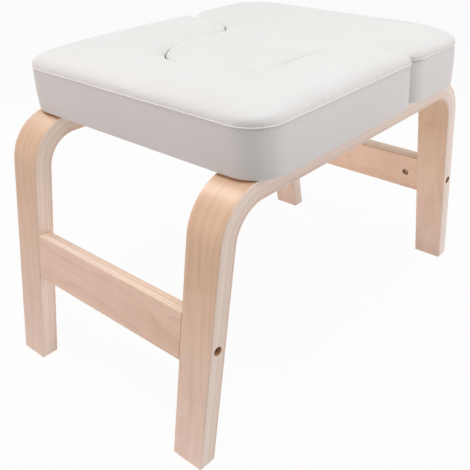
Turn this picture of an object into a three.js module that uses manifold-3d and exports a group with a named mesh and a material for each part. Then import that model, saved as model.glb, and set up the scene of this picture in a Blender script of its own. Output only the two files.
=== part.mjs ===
// Yoga headstand stool, in millimetres with +Z up. The origin is on the floor under its middle.
// Two bent plywood side frames stand left and right (X), joined by a rail at the near end (-Y)
// and one at the far end (+Y). On them lie two padded boards: a horseshoe for the shoulders,
// whose neck hole opens towards +Y, and an insert pad that fills the hole and lifts straight out.
import * as THREE from "three";
import { mergeVertices } from "three/addons/utils/BufferGeometryUtils.js";
import Module from "manifold-3d";

// Side frames: a laminated band bent to an upside-down U, seen from the side
const FRAME_HEIGHT = 318;
const FRAME_MIDDLE_X = 153.3;
const BAND_THICKNESS = 23;
const BAND_WIDTH_TOP = 48;
const BAND_WIDTH_FOOT = 44.4;
const FOOT_REACH = 301;
const LEG_SLOPE = 0.1982;
const BEND_RADIUS = 65.5;
const BAND_EDGE_ROUND = 1.5;

// Cross rails, flush with the legs' outer faces and leaning with them
const RAIL_LEVEL = 152;
const RAIL_HEIGHT = 59.5;
const RAIL_THICKNESS = 19;
const RAIL_SETBACK = 0.5;
const RAIL_EDGE_ROUND = 1.5;

// Fasteners
const FIT = 0.3;
const BOLT_RADIUS = 2.9;
const BOLT_HEAD_RADIUS = 5;
const BOLT_HEAD_HEIGHT = 6;
const SOCKET_RADIUS = 2.8;
const SOCKET_DEPTH = 3;
const RAIL_BOLT_LENGTH = 62;
const COUNTERBORE_RADIUS = 5.6;
const COUNTERBORE_DEPTH = 12;
const NUT_RADIUS = 5;
const NUT_LENGTH = 13;
const NUT_RECESS = 2;
const NUT_FROM_END = 21.2;
const NUT_SLOT = 1.6;
const DOWEL_RADIUS = 4;
const DOWEL_LENGTH = 30;
const DOWEL_FROM_MIDDLE = 18;
const PAD_BOLT_LENGTH = 36;
const PAD_BOLT_HEAD_HEIGHT = 3.6;
const PAD_BOLT_PLACES = [["near", -140], ["mid", 30]];
const WASHER_RADIUS = 8;
const WASHER_THICKNESS = 1.5;
const TEE_BARREL_RADIUS = 4.3;
const TEE_FLANGE_RADIUS = 9.5;
const TEE_FLANGE_THICKNESS = 1.4;
const TEE_LENGTH = 10;
const PEG_RADIUS = 5;
const PEG_DEPTH = 12;
const PEG_Y = 150;

// Pads, measured at the piping round their top edge
const PAD_HALF_WIDTH = 190;
const PAD_NEAR = -205;
const PAD_FAR = 218;
const SEAM_Y = 85;
const SEAM_GAP = 3;
const NECK_HALF_WIDTH = 82;
const NECK_END = -99;
const NECK_ROUND = 62;
const ARM_INNER_ROUND = 60;
const ARM_OUTER_ROUND = 18;
const NEAR_CORNER_ROUND = 38;
const FAR_CORNER_ROUND = 43;
const INSERT_SIDE_ROUND = 17;
const SMALLEST_ROUND = 5;
const PIPING_Z = 370.5;
const PIPING_RADIUS = 1.3;
const CROWN_RISE = 18;
const CROWN_REACH = 36;
const CROWN_FULLNESS = 0.75;
const SEAM_REACH = 30;
const SEAM_FULLNESS = 1.2;
const CORNER_FOLLOW = 0.7;
const SIDE_FLARE = 4;
const CORNER_DRAW_IN = 1.5;
const WALL_BULGE = 1.2;
const COVER_THICKNESS = 1.2;
const HEM_WIDTH = 20;
const BOARD_THICKNESS = 12;
const HEM_ROUND = 1.2;
const WALL_FOOT_HEIGHT = 2;
const WALL_TOP_BELOW_PIPING = 4.4;

// How finely round faces are cut: holes that show, turned fasteners, and the pads' corners
const HOLE_STEPS = 24;
const TURNED_STEPS = 16;
const DOWEL_STEPS = 12;
const CORNER_STEPS = 4;
const NECK_STEPS = 9;

const NEAR = -1;
const FAR = 1;
const LEFT = -1;
const RIGHT = 1;
const SIDE_NAMES = new Map([[LEFT, "left"], [RIGHT, "right"]]);
const END_NAMES = new Map([[NEAR, "near"], [FAR, "far"]]);

const legLean = Math.atan(LEG_SLOPE);
const legStretch = Math.hypot(1, LEG_SLOPE);
const padBottom = FRAME_HEIGHT + FIT;
const boardBottom = padBottom + COVER_THICKNESS + FIT;
const boardTop = boardBottom + BOARD_THICKNESS;
const foamBottom = boardTop + FIT;
const wallFoot = padBottom + WALL_FOOT_HEIGHT;
const wallTop = PIPING_Z - WALL_TOP_BELOW_PIPING;
const wallMiddle = (wallFoot + wallTop) / 2;
const pipingSeat = PIPING_RADIUS + FIT;

const wasm = await Module();
wasm.setup();

const birch = { color: 0xdcc0a4, roughness: 0.45, metalness: 0 };
const birchRail = { color: 0xd8b89c, roughness: 0.5, metalness: 0 };
const rawPly = { color: 0xcdb08a, roughness: 0.85, metalness: 0 };
const whiteLeather = { color: 0xf1efed, roughness: 0.45, metalness: 0 };
const whitePiping = { color: 0xf4f2f0, roughness: 0.4, metalness: 0 };
const foamYellow = { color: 0xe9dcae, roughness: 0.95, metalness: 0 };
const zincSteel = { color: 0xa9abad, roughness: 0.35, metalness: 0.9 };
const darkSteel = { color: 0x4a4541, roughness: 0.45, metalness: 0.9 };
const beech = { color: 0xd9b98c, roughness: 0.7, metalness: 0 };

function piece(name, geometry, look) {
  const mesh = new THREE.Mesh(geometry, new THREE.MeshStandardMaterial(look));
  mesh.name = name;
  return mesh;
}

// Solids that cut one another

function solidOf(geometry) {
  const bare = geometry.clone();
  bare.deleteAttribute("normal");
  bare.deleteAttribute("uv");
  const merged = mergeVertices(bare);
  return new wasm.Manifold(new wasm.Mesh({
    numProp: 3,
    vertProperties: new Float32Array(merged.attributes.position.array),
    triVerts: new Uint32Array(merged.index.array),
  }));
}

function geometryOf(solid) {
  const mesh = solid.getMesh();
  const geometry = new THREE.BufferGeometry();
  geometry.setAttribute("position", new THREE.BufferAttribute(mesh.vertProperties, 3));
  geometry.setIndex(new THREE.BufferAttribute(mesh.triVerts, 1));
  geometry.computeVertexNormals();
  return geometry;
}

function cut(geometry, cutters) {
  let solid = solidOf(geometry);
  for (const cutter of cutters) {
    solid = solid.subtract(solidOf(cutter));
  }
  return geometryOf(solid);
}

// A turned shape whose profile of [radius, along] pairs runs along +Y
function turned(profile, steps = TURNED_STEPS) {
  const points = profile.map(([radius, along]) => new THREE.Vector2(radius, along));
  return new THREE.LatheGeometry(points, steps);
}

// Turns a shape made along +Y to run along X, towards the given side
function alongX(geometry, side) {
  return geometry.rotateZ(-side * Math.PI / 2);
}

// Turns a shape made along +Y to run along Z, upwards for 1 and downwards for -1
function alongZ(geometry, way) {
  return geometry.rotateX(way * Math.PI / 2);
}

function rod(radius, length, steps = TURNED_STEPS) {
  return new THREE.CylinderGeometry(radius, radius, length, steps);
}

function chamferedRod(radius, length, steps = TURNED_STEPS) {
  const chamfer = 1;
  const half = length / 2;
  return turned([
    [0, -half], [radius - chamfer, -half], [radius, chamfer - half],
    [radius, half - chamfer], [radius - chamfer, half], [0, half],
  ], steps);
}

// A socket-head bolt along +Y, its head's seat at 0 and its shank below
function bolt(length, headHeight) {
  const chamfer = 0.7;
  const body = turned([
    [0, -length], [BOLT_RADIUS - chamfer, -length], [BOLT_RADIUS, chamfer - length],
    [BOLT_RADIUS, 0], [BOLT_HEAD_RADIUS, 0], [BOLT_HEAD_RADIUS, headHeight - chamfer],
    [BOLT_HEAD_RADIUS - chamfer, headHeight], [0, headHeight],
  ]);
  const socket = new THREE.CylinderGeometry(SOCKET_RADIUS, SOCKET_RADIUS, 2 * SOCKET_DEPTH, 6);
  socket.translate(0, headHeight, 0);
  return cut(body, [socket]);
}

// Side frames

function bandWidthAt(z) {
  return BAND_WIDTH_FOOT + (BAND_WIDTH_TOP - BAND_WIDTH_FOOT) * z / FRAME_HEIGHT;
}

function bandOutline() {
  const bendZ = FRAME_HEIGHT - BEND_RADIUS;
  const bendY = FOOT_REACH - LEG_SLOPE * bendZ - BEND_RADIUS * legStretch;
  const innerRadius = BEND_RADIUS - BAND_THICKNESS;
  const innerFoot = FOOT_REACH - BAND_THICKNESS * legStretch;
  const outline = new THREE.Shape();
  outline.moveTo(-innerFoot, 0);
  outline.lineTo(-FOOT_REACH, 0);
  outline.absarc(-bendY, bendZ, BEND_RADIUS, Math.PI - legLean, Math.PI / 2, true);
  outline.absarc(bendY, bendZ, BEND_RADIUS, Math.PI / 2, legLean, true);
  outline.lineTo(FOOT_REACH, 0);
  outline.lineTo(innerFoot, 0);
  outline.absarc(bendY, bendZ, innerRadius, legLean, Math.PI / 2, false);
  outline.absarc(-bendY, bendZ, innerRadius, Math.PI / 2, Math.PI - legLean, false);
  outline.closePath();
  return outline;
}

// The band round its own middle plane, its legs a little narrower at the floor
function band() {
  const geometry = new THREE.ExtrudeGeometry(bandOutline(), {
    depth: BAND_WIDTH_TOP - 2 * BAND_EDGE_ROUND,
    bevelThickness: BAND_EDGE_ROUND,
    bevelSize: BAND_EDGE_ROUND,
    bevelOffset: -BAND_EDGE_ROUND,
    bevelSegments: 2,
    curveSegments: 9,
  });
  geometry.translate(0, 0, BAND_EDGE_ROUND - BAND_WIDTH_TOP / 2);
  geometry.rotateX(Math.PI / 2);
  geometry.rotateZ(Math.PI / 2);
  const places = geometry.attributes.position;
  for (let i = 0; i < places.count; i += 1) {
    places.setX(i, places.getX(i) * bandWidthAt(places.getZ(i)) / BAND_WIDTH_TOP);
  }
  return geometry;
}

// A place on a leg where a rail meets it: x across, y inwards from the outer face, z up the leg.
// The far end is the near end turned half round.
function endPose(end) {
  const lean = new THREE.Matrix4().makeRotationX(-legLean);
  lean.setPosition(0, LEG_SLOPE * RAIL_LEVEL - FOOT_REACH, RAIL_LEVEL);
  const turn = new THREE.Matrix4().makeRotationZ(end === FAR ? Math.PI : 0);
  return turn.multiply(lean);
}

const railMiddleY = RAIL_SETBACK + RAIL_THICKNESS / 2;
const railInnerY = RAIL_SETBACK + RAIL_THICKNESS;
const legOuterX = FRAME_MIDDLE_X + bandWidthAt(RAIL_LEVEL) / 2;
const legInnerX = FRAME_MIDDLE_X - bandWidthAt(RAIL_LEVEL) / 2;
const railHalfLength = legInnerX - 2 * FIT;
const railBoltSeatX = legOuterX - COUNTERBORE_DEPTH;

// The holes of one joint between a leg and a rail, cut alike from both
function railJointCutters(side) {
  const shank = alongX(rod(BOLT_RADIUS + FIT, RAIL_BOLT_LENGTH + 2 * FIT), side);
  shank.translate(side * (railBoltSeatX - RAIL_BOLT_LENGTH / 2), railMiddleY, 0);
  const mouthLength = COUNTERBORE_DEPTH + BOLT_HEAD_RADIUS;
  const mouth = alongX(rod(COUNTERBORE_RADIUS, mouthLength, HOLE_STEPS), side);
  mouth.translate(side * (railBoltSeatX + mouthLength / 2), railMiddleY, 0);
  const dowelHoles = [-1, 1].map((way) => {
    const hole = alongX(rod(DOWEL_RADIUS + FIT, DOWEL_LENGTH + 2 * FIT, DOWEL_STEPS), side);
    return hole.translate(side * legInnerX, railMiddleY, way * DOWEL_FROM_MIDDLE);
  });
  return [shank, mouth, ...dowelHoles];
}

function sideFrame(side) {
  const cutters = [];
  for (const end of [NEAR, FAR]) {
    const pose = endPose(end);
    const localSide = end === FAR ? -side : side;
    for (const cutter of railJointCutters(localSide)) {
      cutters.push(cutter.applyMatrix4(pose));
    }
  }
  for (const [, y] of PAD_BOLT_PLACES) {
    const hole = alongZ(rod(BOLT_RADIUS + 2 * FIT, 3 * BAND_THICKNESS), 1);
    cutters.push(hole.translate(side * FRAME_MIDDLE_X, y, FRAME_HEIGHT));
  }
  const pegHole = alongZ(rod(PEG_RADIUS + 2 * FIT, 2 * (PEG_DEPTH + 2)), 1);
  cutters.push(pegHole.translate(side * FRAME_MIDDLE_X, PEG_Y, FRAME_HEIGHT));
  const whole = band().translate(side * FRAME_MIDDLE_X, 0, 0);
  return piece(`side_frame_${SIDE_NAMES.get(side)}`, cut(whole, cutters), birch);
}

// Cross rails and what holds them

function railBlank() {
  const halfHeight = RAIL_HEIGHT / 2;
  const halfThickness = RAIL_THICKNESS / 2;
  const section = new THREE.Shape();
  section.moveTo(-halfThickness, -halfHeight);
  section.lineTo(halfThickness, -halfHeight);
  section.lineTo(halfThickness, halfHeight);
  section.lineTo(-halfThickness, halfHeight);
  section.closePath();
  const geometry = new THREE.ExtrudeGeometry(section, {
    depth: 2 * (railHalfLength - RAIL_EDGE_ROUND),
    bevelThickness: RAIL_EDGE_ROUND,
    bevelSize: RAIL_EDGE_ROUND,
    bevelOffset: -RAIL_EDGE_ROUND,
    bevelSegments: 2,
  });
  geometry.translate(0, 0, RAIL_EDGE_ROUND - railHalfLength);
  geometry.rotateX(Math.PI / 2);
  geometry.rotateZ(Math.PI / 2);
  return geometry.translate(0, railMiddleY, 0);
}

function rail(end) {
  const cutters = [];
  for (const side of [LEFT, RIGHT]) {
    const nutHole = rod(NUT_RADIUS + FIT, 2 * (NUT_RECESS + NUT_LENGTH), HOLE_STEPS);
    nutHole.translate(side * (railHalfLength - NUT_FROM_END), railInnerY, 0);
    cutters.push(...railJointCutters(side), nutHole);
  }
  return piece(`${END_NAMES.get(end)}_rail`, cut(railBlank(), cutters), birchRail);
}

function barrelNut(side) {
  const middleY = railInnerY - NUT_RECESS - NUT_LENGTH / 2;
  const blank = chamferedRod(NUT_RADIUS, NUT_LENGTH - 2 * FIT);
  const thread = alongX(rod(BOLT_RADIUS + FIT, 3 * NUT_RADIUS), 1);
  thread.translate(0, railMiddleY - middleY, 0);
  const slot = new THREE.BoxGeometry(3 * NUT_RADIUS, 2 * NUT_SLOT, NUT_SLOT);
  slot.translate(0, NUT_LENGTH / 2, 0);
  return cut(blank, [thread, slot])
    .translate(side * (railHalfLength - NUT_FROM_END), middleY, 0);
}

function railBolt(side) {
  return alongX(bolt(RAIL_BOLT_LENGTH, BOLT_HEAD_HEIGHT), side)
    .translate(side * (railBoltSeatX + FIT), railMiddleY, 0);
}

function railDowel(side, way) {
  return alongX(chamferedRod(DOWEL_RADIUS, DOWEL_LENGTH, DOWEL_STEPS), side)
    .translate(side * legInnerX, railMiddleY, way * DOWEL_FROM_MIDDLE);
}

// One rail with its four dowels, two bolts and two barrel nuts, leaning with the legs
function railEnd(end) {
  const group = new THREE.Group();
  const endName = END_NAMES.get(end);
  group.add(rail(end));
  for (const side of [LEFT, RIGHT]) {
    const corner = `${endName}_${SIDE_NAMES.get(end === FAR ? -side : side)}`;
    group.add(piece(`rail_bolt_${corner}`, railBolt(side), darkSteel));
    group.add(piece(`barrel_nut_${corner}`, barrelNut(side), darkSteel));
    group.add(piece(`rail_dowel_${corner}_lower`, railDowel(side, -1), beech));
    group.add(piece(`rail_dowel_${corner}_upper`, railDowel(side, 1), beech));
  }
  endPose(end).decompose(group.position, group.quaternion, group.scale);
  return group;
}

// Pad outlines. A level of a pad is its height z and how far it pulls in the outline's edges:
// side for left and right, end for near and far, seam where the two pads meet. tighten takes
// from the convex corners' radii, and swell adds to the radii of the pad's outer corners.

function convex(radius, level) {
  return Math.max(radius - level.tighten, SMALLEST_ROUND);
}

function mirrored(corners) {
  const left = corners.map((corner) => ({ ...corner, x: -corner.x })).reverse();
  return [...corners, ...left];
}

function horseshoeCorners(level) {
  const side = PAD_HALF_WIDTH - level.side;
  const tip = SEAM_Y - SEAM_GAP / 2 - level.seam;
  const neck = NECK_HALF_WIDTH + SEAM_GAP / 2 + level.seam;
  const neckEnd = NECK_END - SEAM_GAP / 2 - level.seam;
  return mirrored([
    { x: side, y: PAD_NEAR + level.end, round: NEAR_CORNER_ROUND + level.swell },
    { x: side, y: tip, round: convex(ARM_OUTER_ROUND, level) },
    { x: neck, y: tip, round: convex(ARM_INNER_ROUND, level) },
    { x: neck, y: neckEnd, round: NECK_ROUND + level.tighten, steps: NECK_STEPS },
  ]);
}

function insertCorners(level) {
  const side = PAD_HALF_WIDTH - level.side;
  const shoulder = SEAM_Y + SEAM_GAP / 2 + level.seam;
  const tongue = NECK_HALF_WIDTH - SEAM_GAP / 2 - level.seam;
  const tongueEnd = NECK_END + SEAM_GAP / 2 + level.seam;
  return mirrored([
    { x: tongue, y: tongueEnd, round: convex(NECK_ROUND, level), steps: NECK_STEPS },
    { x: tongue, y: shoulder, round: ARM_INNER_ROUND + level.tighten },
    { x: side, y: shoulder, round: convex(INSERT_SIDE_ROUND, level) },
    { x: side, y: PAD_FAR - level.end, round: FAR_CORNER_ROUND + level.swell },
  ]);
}

// Rounds each square corner of an outline with an arc, and gives it the level's height
function ring(corners, z) {
  const points = [];
  corners.forEach(({ x, y, round, steps = CORNER_STEPS }, i) => {
    const before = corners[(i + corners.length - 1) % corners.length];
    const after = corners[(i + 1) % corners.length];
    const arrive = new THREE.Vector2(x - before.x, y - before.y).normalize();
    const leave = new THREE.Vector2(after.x - x, after.y - y).normalize();
    for (let step = 0; step <= steps; step += 1) {
      const turn = Math.PI / 2 * step / steps;
      const forward = round * (Math.sin(turn) - 1);
      const aside = round * (1 - Math.cos(turn));
      points.push(new THREE.Vector3(
        x + arrive.x * forward + leave.x * aside,
        y + arrive.y * forward + leave.y * aside,
        z,
      ));
    }
  });
  return points;
}

// Joins rings of equal counts one after another, and caps both ends or closes the last on the first
function skin(rings, joined) {
  const count = rings[0].length;
  const places = rings.flat().flatMap((point) => [point.x, point.y, point.z]);
  const triangles = [];
  const bands = joined ? rings.length : rings.length - 1;
  for (let k = 0; k < bands; k += 1) {
    const low = k * count;
    const high = (k + 1) % rings.length * count;
    for (let i = 0; i < count; i += 1) {
      const next = (i + 1) % count;
      triangles.push(low + i, low + next, high + next, low + i, high + next, high + i);
    }
  }
  if (!joined) {
    const top = (rings.length - 1) * count;
    for (const [a, b, c] of THREE.ShapeUtils.triangulateShape(rings[0], [])) {
      triangles.push(c, b, a);
    }
    for (const [a, b, c] of THREE.ShapeUtils.triangulateShape(rings[rings.length - 1], [])) {
      triangles.push(top + a, top + b, top + c);
    }
  }
  const geometry = new THREE.BufferGeometry();
  geometry.setAttribute("position", new THREE.Float32BufferAttribute(places, 3));
  geometry.setIndex(triangles);
  geometry.computeVertexNormals();
  return geometry;
}

// The pad's wall at a height. Between its foot and the piping it bulges. Towards the foot it
// flares at the sides, and is drawn in round the corners.
function wallLevel(z, inset) {
  const up = THREE.MathUtils.clamp((z - wallFoot) / (wallTop - wallFoot), 0, 1);
  const bulge = WALL_BULGE * (1 - Math.abs(2 * up - 1));
  return {
    z,
    side: pipingSeat - SIDE_FLARE * (1 - up) - bulge + inset,
    end: pipingSeat - bulge + inset,
    seam: inset,
    swell: CORNER_DRAW_IN * (1 - up),
    tighten: inset,
  };
}

// How far in the crown has come, as a share of its reach, where it has risen the given share.
// Its section is a quarter of an ellipse, squarer for a fullness below 1 and slacker above 1.
function inwardAt(risen, fullness) {
  return 1 - (1 - risen ** (2 / fullness)) ** (fullness / 2);
}

function crownLevel(risen, inset) {
  const reach = inset + (CROWN_REACH - inset) * inwardAt(risen, CROWN_FULLNESS);
  const seamReach = inset + (SEAM_REACH - inset) * inwardAt(risen, SEAM_FULLNESS);
  return {
    z: PIPING_Z + (CROWN_RISE - inset) * risen,
    side: pipingSeat + reach,
    end: pipingSeat + reach,
    seam: PIPING_RADIUS + pipingSeat - SEAM_GAP / 2 + FIT + seamReach,
    swell: -CORNER_FOLLOW * reach,
    tighten: seamReach,
  };
}

// From the wall's foot over the piping's seat to the top of the crown, set in by the given amount
function padLevels(bottomZ, inset) {
  const crownSteps = [0, 0.36, 0.67, 0.9, 1];
  const seat = crownLevel(0, inset);
  seat.z = (wallTop + PIPING_Z) / 2;
  return [
    wallLevel(bottomZ, inset),
    wallLevel(wallMiddle, inset),
    wallLevel(wallTop, inset),
    seat,
    ...crownSteps.map((risen) => crownLevel(risen, inset)),
  ];
}

// A level at the pad's underside, further in by the given amount
function undersideLevel(z, inset) {
  return { ...wallLevel(wallFoot, inset), z };
}

function padCover(cornersOf) {
  const hemTop = padBottom + COVER_THICKNESS;
  const inside = [
    ...padLevels(wallFoot, COVER_THICKNESS).reverse(),
    undersideLevel(hemTop, HEM_ROUND + COVER_THICKNESS / 2),
    undersideLevel(hemTop, HEM_WIDTH),
  ];
  const outside = [
    undersideLevel(padBottom, HEM_WIDTH),
    undersideLevel(padBottom, HEM_ROUND),
    undersideLevel(padBottom + COVER_THICKNESS, HEM_ROUND / 4),
    ...padLevels(wallFoot, 0),
  ];
  return skin([...inside, ...outside].map((level) => ring(cornersOf(level), level.z)), false);
}

function padFoam(cornersOf) {
  const levels = padLevels(foamBottom, COVER_THICKNESS + FIT);
  return skin(levels.map((level) => ring(cornersOf(level), level.z)), false);
}

function padBoard(cornersOf, holes) {
  const inset = COVER_THICKNESS + FIT + 2;
  const levels = [undersideLevel(boardBottom, inset), undersideLevel(boardTop, inset)];
  return cut(skin(levels.map((level) => ring(cornersOf(level), level.z)), false), holes);
}

// A cord sewn into the top edge all the way round the pad
function padPiping(cornersOf) {
  const sides = 6;
  const rings = [];
  for (let i = 0; i < sides; i += 1) {
    const angle = 2 * Math.PI * i / sides;
    const inset = -PIPING_RADIUS * Math.cos(angle);
    const z = PIPING_Z + PIPING_RADIUS * Math.sin(angle);
    const seam = PIPING_RADIUS + FIT - SEAM_GAP / 2 + inset;
    const level = { z, side: inset, end: inset, seam, swell: 0, tighten: inset };
    rings.push(ring(cornersOf(level), z));
  }
  return skin(rings, true);
}

// What holds the horseshoe pad down: a bolt up through each frame into a tee nut in the board

function teeNutHole() {
  const barrel = rod(TEE_BARREL_RADIUS + FIT, 3 * BOARD_THICKNESS).translate(0, boardTop, 0);
  const recess = rod(TEE_FLANGE_RADIUS + FIT, 2 * (TEE_FLANGE_THICKNESS + 2 * FIT));
  return geometryOf(solidOf(barrel).add(solidOf(recess.translate(0, boardTop, 0))));
}

function teeNut() {
  const bore = BOLT_RADIUS + FIT;
  const flangeTop = boardTop - FIT;
  const bottom = flangeTop - TEE_LENGTH;
  return turned([
    [bore, bottom], [TEE_BARREL_RADIUS, bottom],
    [TEE_BARREL_RADIUS, flangeTop - TEE_FLANGE_THICKNESS],
    [TEE_FLANGE_RADIUS, flangeTop - TEE_FLANGE_THICKNESS],
    [TEE_FLANGE_RADIUS, flangeTop], [bore, flangeTop], [bore, bottom],
  ]);
}

function padFasteners(side, place, y) {
  const corner = `${SIDE_NAMES.get(side)}_${place}`;
  const x = side * FRAME_MIDDLE_X;
  const washerTop = FRAME_HEIGHT - BAND_THICKNESS - FIT;
  const washerBore = BOLT_RADIUS + FIT;
  const washer = turned([
    [washerBore, 0], [WASHER_RADIUS, 0], [WASHER_RADIUS, WASHER_THICKNESS],
    [washerBore, WASHER_THICKNESS], [washerBore, 0],
  ]);
  const seat = washerTop - WASHER_THICKNESS - FIT;
  const padBolt = bolt(PAD_BOLT_LENGTH, PAD_BOLT_HEAD_HEIGHT);
  return [
    piece(`pad_bolt_${corner}`, alongZ(padBolt, -1).translate(x, y, seat), zincSteel),
    piece(`pad_washer_${corner}`, alongZ(washer, -1).translate(x, y, washerTop), zincSteel),
    piece(`tee_nut_${corner}`, alongZ(teeNut(), 1).translate(x, y, 0), zincSteel),
  ];
}

function horseshoePad() {
  const group = new THREE.Group();
  const holes = [];
  for (const side of [LEFT, RIGHT]) {
    for (const [place, y] of PAD_BOLT_PLACES) {
      holes.push(alongZ(teeNutHole(), 1).translate(side * FRAME_MIDDLE_X, y, 0));
      group.add(...padFasteners(side, place, y));
    }
  }
  group.add(piece("shoulder_pad_board", padBoard(horseshoeCorners, holes), rawPly));
  group.add(piece("shoulder_pad_foam", padFoam(horseshoeCorners), foamYellow));
  group.add(piece("shoulder_pad_cover", padCover(horseshoeCorners), whiteLeather));
  group.add(piece("shoulder_pad_piping", padPiping(horseshoeCorners), whitePiping));
  return group;
}

// The insert pad stands on two pegs that drop into the side frames

function insertPad() {
  const group = new THREE.Group();
  const pegTop = boardTop - FIT;
  const pegBottom = FRAME_HEIGHT - PEG_DEPTH;
  const pegMiddle = (pegTop + pegBottom) / 2;
  const holes = [];
  for (const side of [LEFT, RIGHT]) {
    const x = side * FRAME_MIDDLE_X;
    holes.push(alongZ(rod(PEG_RADIUS + FIT, 3 * BOARD_THICKNESS), 1).translate(x, PEG_Y, boardTop));
    const peg = alongZ(chamferedRod(PEG_RADIUS, pegTop - pegBottom), 1);
    group.add(piece(`insert_peg_${SIDE_NAMES.get(side)}`, peg.translate(x, PEG_Y, pegMiddle), beech));
  }
  group.add(piece("insert_pad_board", padBoard(insertCorners, holes), rawPly));
  group.add(piece("insert_pad_foam", padFoam(insertCorners), foamYellow));
  group.add(piece("insert_pad_cover", padCover(insertCorners), whiteLeather));
  group.add(piece("insert_pad_piping", padPiping(insertCorners), whitePiping));
  return group;
}

const stool = new THREE.Group();
stool.name = "yoga_headstand_stool";
stool.add(sideFrame(LEFT), sideFrame(RIGHT));
stool.add(railEnd(NEAR), railEnd(FAR));
stool.add(horseshoePad(), insertPad());

export default stool;
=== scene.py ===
# %% [markdown]
# # A yoga headstand stool
# The real stool is made of four kinds of piece. Two bands of bent birch plywood are its legs.
# Two plywood rails hold the bands apart. A horseshoe pad carries the shoulders, with the head
# hanging in its opening. A T-shaped insert pad fills that opening when the stool is a seat.
#
# The measured solids come in first and stay as they are. Each piece built here either gives one
# of them a better surface, or takes its place with a finer shape of the same size.

# %% Load the measured solids
import math
import bmesh
import bpy
import numpy as np
from mathutils import Matrix, Vector
from mathutils.geometry import delaunay_2d_cdt
from mathutils.noise import noise as noise_at


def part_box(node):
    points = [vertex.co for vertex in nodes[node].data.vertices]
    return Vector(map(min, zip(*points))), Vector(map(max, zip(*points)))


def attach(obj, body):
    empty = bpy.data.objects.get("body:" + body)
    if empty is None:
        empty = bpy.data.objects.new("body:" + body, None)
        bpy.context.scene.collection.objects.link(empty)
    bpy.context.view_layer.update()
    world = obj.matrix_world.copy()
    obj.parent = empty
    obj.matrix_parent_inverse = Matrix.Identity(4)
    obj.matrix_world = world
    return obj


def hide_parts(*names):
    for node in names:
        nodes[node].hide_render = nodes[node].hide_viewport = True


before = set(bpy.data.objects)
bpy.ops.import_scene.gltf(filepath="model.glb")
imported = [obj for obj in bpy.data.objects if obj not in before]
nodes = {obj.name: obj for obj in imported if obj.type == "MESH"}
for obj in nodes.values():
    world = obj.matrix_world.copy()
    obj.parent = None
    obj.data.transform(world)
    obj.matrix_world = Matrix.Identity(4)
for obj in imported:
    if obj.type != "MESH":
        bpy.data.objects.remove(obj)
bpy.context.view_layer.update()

MM = 0.001

# %% [markdown]
# ## Camera
# A camera can be placed by eye or worked out from the photograph. Here about 150 measured points
# of the legs, rails and pads were matched to the solids, which gives the direction, the distance,
# a small roll and a small shift of the frame.

# %% Place the camera
AZIMUTH, ELEVATION, ROLL = (math.radians(a) for a in (40.95, 34.0, -1.405))
toward_camera = Vector((math.sin(AZIMUTH) * math.cos(ELEVATION),
                        -math.cos(AZIMUTH) * math.cos(ELEVATION), math.sin(ELEVATION)))
level_right = Vector((0, 0, 1)).cross(toward_camera).normalized()
level_up = toward_camera.cross(level_right)
right = math.cos(ROLL) * level_right + math.sin(ROLL) * level_up
up = math.cos(ROLL) * level_up - math.sin(ROLL) * level_right
camera = bpy.data.objects.new("camera", bpy.data.cameras.new("camera"))
bpy.context.scene.collection.objects.link(camera)
bpy.context.scene.camera = camera
camera.matrix_world = Matrix((
    (right.x, up.x, toward_camera.x, 0.53475), (right.y, up.y, toward_camera.y, -0.60835),
    (right.z, up.z, toward_camera.z, 0.57646), (0, 0, 0, 1)))
camera.data.sensor_width = 36
camera.data.lens = 48.09
camera.data.shift_x, camera.data.shift_y = -0.0482, 0.0909
bpy.context.scene.view_settings.view_transform = "Standard"
print("camera at", tuple(round(v, 3) for v in camera.location), "lens", camera.data.lens)

# %% [markdown]
# ## Floor and light
# A product photograph has a white surround and large soft lamps. Rendering each lamp alone and
# matching their sum to the photograph's white leather gave their powers: two above, one on the
# right and a warm one on the left in front. A smaller one above on the left is what the lacquer on
# the bends mirrors towards the camera, so the warm one is kept out of gloss. The last lies under
# the stool and stands in for the lit table, which brightens the undersides. A white look must not
# come from strong lamps, because that would bleach the white leather. So the floor and the world
# only look white to the camera, and to gloss.

# %% Helpers for node trees
def shader_node(tree, kind, **settings):
    made = tree.nodes.new(kind)
    for name, value in settings.items():
        if hasattr(made, name):
            setattr(made, name, value)
        else:
            made.inputs[name.replace("_", " ")].default_value = value
    return made


def join(tree, pairs):
    for source, target in pairs:
        tree.links.new(source, target)


def show_as(tree, lit, plain, share):
    """Mixes a lit shader with a plain one on the rays that the camera or gloss sends."""
    path = shader_node(tree, "ShaderNodeLightPath")
    seen = shader_node(tree, "ShaderNodeMath", operation="MAXIMUM")
    any_seen = shader_node(tree, "ShaderNodeMath", operation="MAXIMUM")
    part = shader_node(tree, "ShaderNodeMath", operation="MULTIPLY")
    part.inputs[1].default_value = share
    mix = shader_node(tree, "ShaderNodeMixShader")
    join(tree, [(path.outputs["Is Camera Ray"], seen.inputs[0]),
                (path.outputs["Is Glossy Ray"], seen.inputs[1]),
                (seen.outputs[0], any_seen.inputs[0]),
                (path.outputs["Is Transmission Ray"], any_seen.inputs[1]),
                (any_seen.outputs[0], part.inputs[0]), (part.outputs[0], mix.inputs[0]),
                (lit.outputs[0], mix.inputs[1]), (plain.outputs[0], mix.inputs[2])])
    return mix


# %% World and floor
world = bpy.data.worlds.new("studio")
bpy.context.scene.world = world
world.use_nodes = True
sky = world.node_tree
sky.nodes.clear()
soft = shader_node(sky, "ShaderNodeBackground", Color=(1.0, 0.96, 0.93, 1), Strength=0.05)
white = shader_node(sky, "ShaderNodeBackground", Color=(1, 1, 1, 1), Strength=1.0)
world_out = shader_node(sky, "ShaderNodeOutputWorld")
join(sky, [(show_as(sky, soft, white, 1.0).outputs[0], world_out.inputs["Surface"])])

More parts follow.
